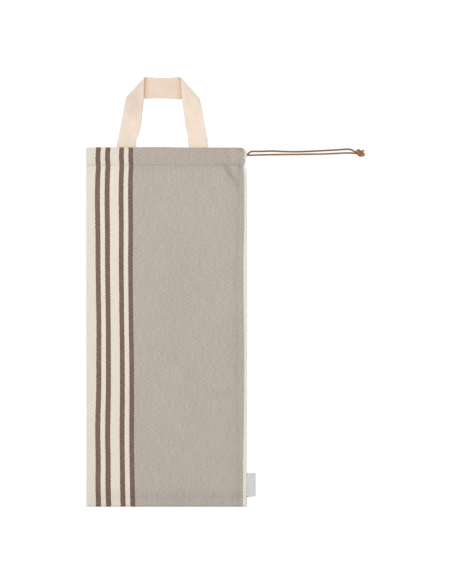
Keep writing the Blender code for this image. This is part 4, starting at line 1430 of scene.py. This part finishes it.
def cross_rungs():
    """The crosspiece lies face down, because the strap turned over at its fold."""
    rungs = []
    start, end = CROSSPIECE[0].across, CROSSPIECE[-1].across
    for across in spaced(start, end, CROSS_STEP) + [end]:
        heights = two_edges(CROSSPIECE, across)
        ends = (Vector((across, BAG_LENGTH + above, CROSSPIECE_HIGH)) for above in heights)
        rungs.append(Rung(*ends, Vector((0.0, 0.0, -1.0))))
    return rungs


print(len(leg_rungs(LEFT_LEG)), "rungs in a leg,", len(cross_rungs()), "in the crosspiece")

# %% Rungs round a fold
FOLD_RADIUS = (FOLD_HIGH - CROSSPIECE_HIGH) / 2
FOLD_OUTER = FOLD_RADIUS + STRAP / 2
FOLD_STEPS = 14


def fold_rungs(crease, centre):
    """Half a turn round a crease, from the leg on top to the crosspiece under it."""
    outer, inner = (Vector((c.across, BAG_LENGTH + c.above)) for c in crease)
    along = (inner - outer).normalized()
    away = Vector((-along.y, along.x))
    if away.dot(outer - centre) < 0:
        away = -away
    outer, inner = outer - away * FOLD_OUTER, inner - away * FOLD_OUTER
    creep = along.y / away.y  # the strap meets its crease at a slant, so it creeps along as it turns
    rungs = []
    for k in range(FOLD_STEPS + 1):
        angle = math.pi * (0.5 - k / FOLD_STEPS)
        out = Vector((away.x * math.cos(angle), away.y * math.cos(angle), math.sin(angle)))
        middle = Vector((0.0, 0.0, CROSSPIECE_HIGH + FOLD_RADIUS)) + out * FOLD_RADIUS
        middle -= along.to_3d() * creep * FOLD_RADIUS * angle
        rungs.append(Rung(outer.to_3d() + middle, inner.to_3d() + middle, out))
    return rungs


def between(start, end, steps):
    """Rungs that turn evenly from one to another, without the two given."""
    return [
        Rung(start.one.lerp(end.one, k / steps), start.two.lerp(end.two, k / steps), start.facing)
        for k in range(1, steps)
    ]


print("a fold turns in", FOLD_STEPS, "steps")

# %% The whole strap, from rung to rung
JOIN_STEPS = 9


def strap_rungs():
    """The whole strap in order: left leg, left fold, crosspiece, right fold, right leg."""
    centre = Vector((BAG_WIDTH / 2, BAG_LENGTH + HANDLE_TOP / 2))
    left, right = leg_rungs(LEFT_LEG), leg_rungs(RIGHT_LEG)
    left_fold, right_fold = fold_rungs(LEFT_CREASE, centre), fold_rungs(RIGHT_CREASE, centre)
    middle = cross_rungs()
    return (
        left
        + between(left[-1], left_fold[0], JOIN_STEPS)
        + left_fold
        + between(left_fold[-1], middle[0], JOIN_STEPS)
        + middle
        + between(middle[-1], right_fold[-1], JOIN_STEPS)
        + right_fold[::-1]
        + between(right_fold[0], right[-1], JOIN_STEPS)
        + right[::-1]
    )


rungs = strap_rungs()
print(len(rungs), "rungs in the strap")

# %% [markdown]
# ## Webbing: from rungs to a strap
# Each rung becomes one ring of points: over the upper face from edge to edge, and back along the lower
# one. Near both edges the strap gets thinner along a quarter circle, so the edge is round like a real
# selvedge. The distance walked along the strap goes into the UV, so that the weave follows its folds.

# %% Section, painted shade and painted light
STRAP_EDGE = 0.024
STRAP_PLACES = (0.0, 0.003, 0.009, 0.016, 0.024, 0.06, 0.14, 0.24, 0.34, 0.44)
THIN_EDGE = 0.12
CROSSPIECE_PAINTED_SHADE = 0.2  # painted warm shade over the whole crosspiece
PaintedShadeRow = namedtuple("PaintedShadeRow", "across half_width share")
LEG_PAINTED_SHADE = (PaintedShadeRow(109.5, 4.5, 0.55), PaintedShadeRow(177.5, 6.0, 0.5))  # painted shade, most of all beside a leg
PAINTED_LEG_SHADE_AND_LIGHT = table_of(  # painted shade on the left leg near its fold, or, with a minus, painted light near the mouth
    Crease,
    (84.0, 752.0, 84.0, 752.1, 20.0, 0.05), (98.0, 790.0, 90.0, 738.0, 11.0, 0.1),
    (206.0, 712.0, 211.0, 660.0, 28.0, -0.045), (192.0, 670.0, 229.0, 670.0, 11.0, -0.085),
    (56.0, 668.0, 93.0, 668.0, 9.0, -0.045),
)
strap_places = list(STRAP_PLACES) + [0.5] + [1.0 - share for share in STRAP_PLACES[::-1]]


def strap_half(share):
    """Half the strap's thickness at a share of its width."""
    rest = 1.0 - min(min(share, 1.0 - share) / STRAP_EDGE, 1.0)
    return STRAP / 2 * max(THIN_EDGE, math.sqrt(1.0 - rest * rest))


def painted_leg_shade_and_light(across, up):
    """Painted shade at a place of a leg, or painted light below 0: each row fades out round its own short
    line.
    """
    total = 0.0
    for row in PAINTED_LEG_SHADE_AND_LIGHT:
        run = (row.across_to - row.across_from, row.up_to - row.up_from)
        here = (across - row.across_from, up - row.up_from)
        share = kept_share((here[0] * run[0] + here[1] * run[1]) / math.hypot(*run) ** 2)
        away = math.hypot(here[0] - share * run[0], here[1] - share * run[1])
        total += row.height * bell(away, row.half_width)
    return total


def strap_tones(at, facing):
    """How much painted warm shade lies on a point of the crosspiece, and how much painted shade or light on
    a leg.
    """
    if facing.z > -0.5:
        # painted shade or painted light on a leg
        return 0.0, painted_leg_shade_and_light(at.x, at.y)
    # painted shade on the crosspiece, darkest beside each leg
    crosspiece_shade = sum((row.share * bell(at.x - row.across, row.half_width) for row in LEG_PAINTED_SHADE), CROSSPIECE_PAINTED_SHADE)
    return crosspiece_shade, 0.0


print("each rung has", 2 * len(strap_places), "points")

# %% Build the strap
STRAP_WIDTH = 38.0


def strap_mesh(name, rungs):
    points, uvs, tones = [], [], []
    walked, last = 0.0, None
    for rung in rungs:
        middle = rung.one.lerp(rung.two, 0.5)
        walked += (middle - last).length if last else 0.0
        last = middle
        for side, places in ((1, strap_places), (-1, strap_places[::-1])):
            for share in places:
                at = rung.one.lerp(rung.two, share) + rung.facing * side * strap_half(share)
                points.append(place(*at))
                uvs.append((share * STRAP_WIDTH * MM, walked * MM))
                tones.append(strap_tones(at, rung.facing))
    mesh = tube_mesh(name, 2 * len(strap_places), points, "webbing", uvs)
    for label, values in zip(("painted_crosspiece_shade", "leg_painted_shade_and_light"), zip(*tones)):
        note(mesh, label, values)
    return mesh, walked


handle_mesh, strap_length = strap_mesh("handle_webbing", rungs)
handle_webbing = add_object("handle_webbing", handle_mesh)
print("the strap is", round(strap_length), "mm long along its middle")

# %% [markdown]
# ## Cotton webbing
# Undyed cotton webbing is a dense, warm off-white tape. Its thick weft makes fine ribs across the strap,
# and its warp shows as lines along it. Painted shade darkens it towards both selvedges, on the left leg
# near its fold, and on the crosspiece, warmest beside the legs; painted light makes the legs paler near
# the mouth. The ribs are bump and not mesh, because they are under a millimetre apart.

# %% Webbing finish
RIB_PITCH = 0.0017
LINE_PITCH = 0.0011
WEBBING_FUZZ = Grain(620.0, (1.0, 0.6), 4.0)
WEBBING_STREAKS = Grain(420.0, (1.0, 0.05))
WEBBING_CLOUDS = Grain(60.0, (1.0, 0.5), 3.0)
WEBBING_TONE_SHARES = (0.05, 0.5, 0.07)  # of ribs, fuzz and streaks
WEBBING_PALEST = 0.97
LINE_RELIEF, FUZZ_RELIEF = 0.35, 0.7  # beside the ribs' own
WEBBING_RELIEF = 0.00016
SELVEDGE_FROM, SELVEDGE_FULL, SELVEDGE_SHARE = 0.0016, 0.0002, 0.3
WEBBING_SHADES = (dyed(229, 209, 192), dyed(254, 236, 219))
WEBBING_PAINTED_SHADE = dyed(217, 180, 142)
WEBBING_EDGE_PAINTED_SHADE = dyed(214, 206, 202)


def near_edges(tree, at, width, start, full):
    """1 at both edges of a tape and 0 away from them, for a coordinate across it."""
    off_edge = calc(tree, "MINIMUM", at, calc(tree, "SUBTRACT", width, at))
    return map_range(tree, off_edge, start, full)


def cotton_webbing():
    finish, tree, shader = start_material("cotton_webbing", roughness=0.85, sheen=0.1)
    tape, u, v = uv_axes(tree, "webbing")
    ribs = calc(tree, "ABSOLUTE", waves(tree, v, 2 * RIB_PITCH))
    lines = calc(tree, "MULTIPLY", waves(tree, u, 2 * LINE_PITCH), waves(tree, v, 2 * RIB_PITCH))
    fuzz, streak = uneven_noise(tree, tape, WEBBING_FUZZ), uneven_noise(tree, tape, WEBBING_STREAKS)
    cloud = stretched_noise(tree, tape, WEBBING_CLOUDS)
    ground = blend_colours(tree, cloud, *WEBBING_SHADES)
    # painted warm shade on the crosspiece
    shaded_ground = blend_colours(tree, attribute(tree, "painted_crosspiece_shade"), ground, WEBBING_PAINTED_SHADE)
    # painted shade, darker towards both selvedges
    edge = near_edges(tree, u, STRAP_WIDTH * MM, SELVEDGE_FROM, SELVEDGE_FULL)
    edged = blend_colours(tree, calc(tree, "MULTIPLY", edge, SELVEDGE_SHARE), shaded_ground, WEBBING_EDGE_PAINTED_SHADE)
    shade = add_up(tree, WEBBING_PALEST, *zip((ribs, fuzz, streak), WEBBING_TONE_SHARES))
    # painted shade and painted light on the legs
    shade = calc(tree, "SUBTRACT", shade, attribute(tree, "leg_painted_shade_and_light"))
    colour_it(tree, shader, edged, shade)
    relief = add_up(tree, ribs, (lines, LINE_RELIEF), (fuzz, FUZZ_RELIEF))
    add_bump(tree, shader, relief, WEBBING_RELIEF)
    roughen(tree, shader, fuzz, share=0.2, least=0.84)
    return finish


handle_webbing.data.materials.append(cotton_webbing())
print("webbing finish ready")

# %% [markdown]
# ## Side label
# The label is a short tape folded in half, with its two cut ends sewn into the side seam. In section it is
# a long narrow loop, so its outline is drawn once, from the cut end over the fold and back, and repeated
# from the label's lower edge to its upper one. It is left blank.

# %% Section of the label
LABEL_PROUD = 16.5
LABEL_TUCK = 3.4
LABEL_LAYER = 0.7
LABEL_PARTING = 0.5
LABEL_STEP = 1.0
LABEL_FOLD_STEPS = 10
SEAM_AT_LABEL = BAG_WIDTH - 0.5


def label_section():
    """The outside and the inside of the loop, as (across, reach) points from the upper cut end."""
    outer, inner = LABEL_LAYER + LABEL_PARTING / 2, LABEL_PARTING / 2
    start, end = SEAM_AT_LABEL - LABEL_TUCK, SEAM_AT_LABEL + LABEL_PROUD
    straight = spaced(start, end - outer, LABEL_STEP) + [end - outer]
    turn = [math.pi * k / LABEL_FOLD_STEPS for k in range(1, LABEL_FOLD_STEPS)]
    sides = []
    for radius in (outer, inner):
        side = [(a, radius) for a in straight]
        side += [(end - outer + radius * math.sin(t), radius * math.cos(t)) for t in turn]
        side += [(a, -radius) for a in straight[::-1]]
        sides.append(side)
    return sides


print(len(label_section()[0]), "points in each side of the label's section")

# %% Build the label
LABEL_SLANT = 1.9
LABEL_DROOP = 1.2
LABEL_CURL = 0.35
LABEL_ROWS = 24
LABEL_EDGE_ROWS = (0.0, 0.003, 0.009)
LABEL_THIN_EDGE = 0.55
LABEL_SHARP_ANGLE = math.radians(50.0)
LABEL_HIGH = EDGE_HEIGHT / 2
LABEL_WIDTH = LABEL_TOP - LABEL_BOTTOM


def label_point(across, reach, share):
    """share runs from the label's lower edge to its upper one; its fold hangs a little lower."""
    past = kept_share((across - SEAM_AT_LABEL) / LABEL_PROUD)
    up = mix(LABEL_BOTTOM + LABEL_SLANT * past, LABEL_TOP, share)
    curl = LABEL_CURL * past * math.cos(2.2 * math.pi * share + 0.5)
    return (across, up, LABEL_HIGH - LABEL_DROOP * past * past + reach + curl)


def label_mesh(name):
    outer, inner = label_section()
    loop = outer + inner[::-1]
    rows = list(LABEL_EDGE_ROWS) + [k / LABEL_ROWS for k in range(1, LABEL_ROWS)]
    rows += [1 - row for row in LABEL_EDGE_ROWS[::-1]]
    points, uvs = [], []
    for share in rows:
        thin = LABEL_THIN_EDGE if share in (0.0, 1.0) else 1.0
        for k, (one, other) in enumerate(zip(loop, loop[::-1])):
            drawn = [mix(0.5 * (a + b), a, thin) for a, b in zip(one, other)]
            points.append(place(*label_point(*drawn, share)))
            walked = min(k, len(loop) - 1 - k) * LABEL_STEP
            uvs.append((walked * MM, share * LABEL_WIDTH * MM))
    mesh = tube_mesh(name, len(loop), points, "tape", uvs)
    mesh.set_sharp_from_angle(angle=LABEL_SHARP_ANGLE)
    return mesh


side_label_tape = add_object("side_label_tape", label_mesh("side_label_tape"))
print("the label stands", LABEL_PROUD, "mm out of the seam")

# %% Label finish
LABEL_SHADES = (dyed(216, 215, 216), dyed(226, 225, 226))
LABEL_EDGE = dyed(196, 193, 195)
LABEL_EDGE_FROM, LABEL_EDGE_FULL, LABEL_EDGE_SHARE = 0.0022, 0.0004, 0.45
LABEL_RIBS = (0.0011, 0.0009)
LABEL_RIB_TONE = 0.03
LABEL_RELIEF = 0.00008
LABEL_CLOUDS = Grain(120.0, (1.0, 1.0))


def label_tape():
    finish, tree, shader = start_material("label_tape", roughness=0.6, sheen=0.08)
    tape, u, v = uv_axes(tree, "tape")
    ribs = calc(tree, "MULTIPLY", *(waves(tree, at, rib) for at, rib in zip((u, v), LABEL_RIBS)))
    cloud = stretched_noise(tree, tape, LABEL_CLOUDS)
    edge = near_edges(tree, v, LABEL_WIDTH * MM, LABEL_EDGE_FROM, LABEL_EDGE_FULL)
    ground = blend_colours(tree, cloud, *LABEL_SHADES)
    edged = blend_colours(tree, calc(tree, "MULTIPLY", edge, LABEL_EDGE_SHARE), ground, LABEL_EDGE)
    colour_it(tree, shader, edged, add_up(tree, 1.0, (ribs, LABEL_RIB_TONE)))
    add_bump(tree, shader, ribs, LABEL_RELIEF)
    roughen(tree, shader, cloud, share=0.2, least=0.5)
    return finish


side_label_tape.data.materials.append(label_tape())
print("the label's ribs are", " and ".join(str(round(1000 * rib, 1)) for rib in LABEL_RIBS), "mm apart")

# %% [markdown]
# ## Sewing: a row of stitches from Geometry Nodes
# Every seam is the same small thing repeated: a short arch of thread that dips into the cloth at both
# ends. One tree lays it along any line at an even pitch, stands it on the cloth's own upward direction,
# and turns and scales each one a little, because no hand or machine sews perfectly. Placing them with a
# Python loop would work too, but then a new pitch would mean new code instead of a new number.

# %% One stitch
ARCH_POINTS = 6
THREAD_SIDES = 6
SUNK_DEPTH = -0.7  # of the thread's diameter


def random_about(tree, middle, spread, seed):
    """A random number for each stitch, at most so far from a middle."""
    low, high = calc(tree, "SUBTRACT", middle, spread), calc(tree, "ADD", middle, spread)
    settings = {2: low, 3: high, "Seed": seed}
    return add_node(tree, "FunctionNodeRandomValue", settings, data_type="FLOAT").outputs[1]


def stitch_arch(tree, given):
    """One stitch: an arch of thread whose two ends dip into the cloth."""
    half_length = calc(tree, "MULTIPLY", given["Stitch Length"], 0.5)
    sunk = calc(tree, "MULTIPLY", given["Thread Diameter"], SUNK_DEPTH)
    arch_top = calc(tree, "MULTIPLY", given["Stitch Height"], 2.0)
    ends = (calc(tree, "MULTIPLY", half_length, -1.0), sunk), (0.0, arch_top), (half_length, sunk)
    settings = {"Resolution": ARCH_POINTS}
    for label, (along, high) in zip(("Start", "Middle", "End"), ends):
        settings[label] = add_node(tree, "ShaderNodeCombineXYZ", {0: along, 2: high}).outputs[0]
    arch = add_node(tree, "GeometryNodeCurveQuadraticBezier", settings).outputs[0]
    return sweep(tree, arch, round_profile(tree, THREAD_SIDES, given["Thread Diameter"]))


print("a stitch is an arch of", ARCH_POINTS, "steps and", THREAD_SIDES, "sides")


# %% Tree that sews along a line
def stitch_tree():
    tree, given, end = start_tree(
        "Stitch row",
        [
            ("Stitch Pitch", "NodeSocketFloat", 0.0039),
            ("Stitch Length", "NodeSocketFloat", 0.0029),
            ("Stitch Height", "NodeSocketFloat", 0.0005),
            ("Thread Diameter", "NodeSocketFloat", 0.0006),
            ("Quarter Turn", "NodeSocketFloat", 0.0),
            ("Unevenness", "NodeSocketFloat", 0.09),
            ("Seed", "NodeSocketInt", 3),
            ("Thread Material", "NodeSocketMaterial", None),
        ],
    )
    seed, unevenness = given["Seed"], given["Unevenness"]
    vector = {"data_type": "FLOAT_VECTOR"}
    upward = add_node(tree, "GeometryNodeInputNamedAttribute", {"Name": "surface_up"}, **vector).outputs[0]
    tangent = add_node(tree, "GeometryNodeInputTangent").outputs[0]
    axes = {"primary_axis": "Z", "secondary_axis": "X"}
    standing = add_node(tree, "FunctionNodeAxesToRotation", {0: upward, 1: tangent}, **axes).outputs[0]
    sway = random_about(tree, given["Quarter Turn"], unevenness, seed)
    twist = add_node(tree, "ShaderNodeCombineXYZ", {2: sway}).outputs[0]
    turn = {0: standing, 1: twist}
    placed = {
        "Points": even_line(tree, given["Geometry"], given["Stitch Pitch"]),
        "Instance": stitch_arch(tree, given),
        "Rotation": add_node(tree, "FunctionNodeRotateRotation", turn, rotation_space="LOCAL").outputs[0],
        "Scale": random_about(tree, 1.0, unevenness, calc(tree, "ADD", seed, 1.0)),
    }
    stitches = add_node(tree, "GeometryNodeInstanceOnPoints", placed).outputs[0]
    end_tree(tree, end, stitches, given["Thread Material"])
    return tree


sewing_tree = stitch_tree()
print("the sewing tree has", len(sewing_tree.nodes), "nodes")

# %% Sewing thread
THREAD_TURN = (0.4, 0.5, math.radians(35.0))
THREAD_TWISTS = 900.0
THREAD_SHADOW = 0.72
THREAD_RELIEF = 0.00008


def sewing_thread(name, colour):
    """Spun polyester thread: a fine diagonal twist, and a slight shine."""
    finish, tree, shader = start_material(name, roughness=0.55, sheen=0.1)
    spot = add_node(tree, "ShaderNodeTexCoord").outputs["Object"]
    turned = add_node(tree, "ShaderNodeMapping", {"Vector": spot, "Rotation": THREAD_TURN}).outputs[0]
    settings = {"Vector": turned, "Scale": THREAD_TWISTS, "Distortion": 1.5}
    twist = add_node(tree, "ShaderNodeTexWave", settings).outputs["Fac"]
    dark = tuple(THREAD_SHADOW * value for value in colour[:3]) + (1.0,)
    colour_it(tree, shader, blend_colours(tree, twist, dark, colour))
    add_bump(tree, shader, twist, THREAD_RELIEF)
    return finish


taupe_thread = sewing_thread("taupe_thread", dyed(180, 170, 158))
cream_thread = sewing_thread("cream_thread", dyed(214, 206, 190))
dark_thread = sewing_thread("dark_thread", dyed(112, 102, 92))
print("threads:", ", ".join(thread.name for thread in (taupe_thread, cream_thread, dark_thread)))

# %% [markdown]
# ## Sewing: where the rows run
# The channel's row goes along the front and the back, 34 mm below the mouth. The side seam shows a fine
# row inside its groove. Each end of the handle is held by a box of stitches that comes out on the back.
# The label and the bottom corner are secured with a few hand stitches. Each row is a line on the cloth
# with the cloth's upward direction, worked out by the same height functions as the cloth itself.

# %% Lines on the cloth
StitchLine = namedtuple("StitchLine", "points ups")
TO_FRONT, TO_BACK, TO_SEAM = (0.0, 0.0, 1.0), (0.0, 0.0, -1.0), (1.0, 0.0, 0.0)
LINE_STEP = 2.0


def cloth_line(start, end, height, up_from_it):
    """A straight row on one face of the bag, from one (across, up) place to another."""
    count = max(1, round(math.dist(start, end) / LINE_STEP))
    shares = [k / count for k in range(count + 1)]
    spots = [(mix(start[0], end[0], share), mix(start[1], end[1], share)) for share in shares]
    return StitchLine([place(a, u, height(a, u)) for a, u in spots], [up_from_it] * len(spots))


def front_line(start, end):
    return cloth_line(start, end, front_height, TO_FRONT)


def back_line(start, end):
    return cloth_line(start, end, back_height, TO_BACK)


def groove_line(start, end):
    """A row inside the groove of the side seam."""
    rows = spaced(start, end, LINE_STEP) + [end]
    depth = 0.55 * SEAM_GROOVE
    points = [place(seam_across(up) - depth, up, seam_height(up) / 2) for up in rows]
    return StitchLine(points, [TO_SEAM] * len(rows))


BOX_INSET = 4.0
BOX_BELOW_RIM = (29.0, 5.0)


def box_lines(leg):
    """The four sides of the box of stitches that holds one end of the handle, seen on the back."""
    sides = []
    for below in BOX_BELOW_RIM:
        edges, up = two_edges(leg, -below), BAG_LENGTH - below
        sides.append([(min(edges) + BOX_INSET, up), (max(edges) - BOX_INSET, up)])
    corners = sides[0] + sides[1][::-1]
    return [back_line(a, b) for a, b in zip(corners, corners[1:] + corners[:1])]


print("a box is sewn from", BOX_BELOW_RIM[0], "to", BOX_BELOW_RIM[1], "mm below the rim")


# %% Sew rows along lines
def sew(name, lines, thread, **settings):
    """Sews rows along lines that share a thread, as one piece."""
    named = {key.replace("_", " ").title(): value for key, value in settings.items()}
    named["Thread Material"] = thread
    ups = [up for line in lines for up in line.ups]
    return grow(name, [(line.points, False) for line in lines], sewing_tree, named, ups)


print("rows that share a thread and its sizes become one piece")

# %% Machine stitches
CHANNEL_ROW = ((4.0, STITCH_LINE), (289.0, STITCH_LINE))
BELOW_LABEL = (4.0, LABEL_BOTTOM - 2.0)
ABOVE_LABEL = (LABEL_TOP + 2.5, EXIT_UP - EXIT_HALF_LENGTH - 3.0)
sewn = [
    sew("channel_stitches_front", [front_line(*CHANNEL_ROW)], taupe_thread),
    sew(
        "channel_stitches_back",
        [back_line(*CHANNEL_ROW)],
        taupe_thread,
        stitch_height=0.00015,
        seed=11,
    ),
    sew(
        "side_seam_stitches",
        [groove_line(*BELOW_LABEL), groove_line(*ABOVE_LABEL)],
        cream_thread,
        stitch_pitch=0.0031,
        stitch_length=0.0022,
        thread_diameter=0.0005,
        stitch_height=0.0002,
        seed=23,
    ),
    sew(
        "handle_box_stitches",
        box_lines(LEFT_LEG) + box_lines(RIGHT_LEG),
        cream_thread,
        stitch_height=0.00015,
        stitch_pitch=0.0034,
        stitch_length=0.0026,
        seed=31,
    ),
]
print(len(sewn), "sewn rows")

# %% Hand stitches at the label and the corner
CORNER_TACK = ((298.9, 3.4), (299.0, 14.5))
LABEL_TACK = ((295.4, 13.0), (295.4, 31.5))
LABEL_KNOT = ((300.6, 19.8), (301.6, 20.3))
label_face = LABEL_HIGH + LABEL_LAYER + LABEL_PARTING / 2
sewn += [
    sew(
        "corner_tack",
        [front_line(*CORNER_TACK)],
        dark_thread,
        stitch_pitch=0.0036,
        stitch_length=0.0024,
        thread_diameter=0.0007,
        stitch_height=0.0002,
        unevenness=0.2,
        seed=41,
    ),
    sew(
        "label_tack",
        [front_line(*LABEL_TACK)],
        cream_thread,
        stitch_pitch=0.0044,
        stitch_length=0.0018,
        stitch_height=0.00025,
        seed=43,
    ),
    sew(
        "label_knot",
        [StitchLine([place(*spot, label_face) for spot in LABEL_KNOT], [TO_FRONT] * len(LABEL_KNOT))],
        dark_thread,
        stitch_pitch=0.0008,
        stitch_length=0.0017,
        thread_diameter=0.0007,
        stitch_height=0.0004,
        quarter_turn=math.pi / 2,
        unevenness=0.3,
        seed=47,
    ),
]
print(len(sewn), "sewn pieces in all")

# %% [markdown]
# ## The pieces on the bag's one body
# Every piece rides on the bag's one body. The fine pieces stand for the plain solids of the imported model,
# which stay behind for physics.

# %% What each piece stands for
PIECES = (
    (bag_cloth, "striped_linen", "bag_body"),
    (handle_webbing, "webbing", "handle_strap"),
    (strands["drawstring_strand_upper"], "cord", "drawstring_upper"),
    (strands["drawstring_strand_lower"], "cord", "drawstring_lower"),
    (knot, "cord", "drawstring_knot"),
    (side_label_tape, "label_tape", "side_label"),
)
for piece, finish_slot, solid in PIECES:
    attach(piece, "root")
    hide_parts(solid)
for piece in sewn:
    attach(piece, "root")
print(len(PIECES), "pieces stand for solids, and", len(sewn), "are sewn on")

# %% Cords
exit_place = place(seam_across(EXIT_UP), EXIT_UP, EXIT_HIGH)
print("both strands leave the bag at", [round(value, 4) for value in exit_place])
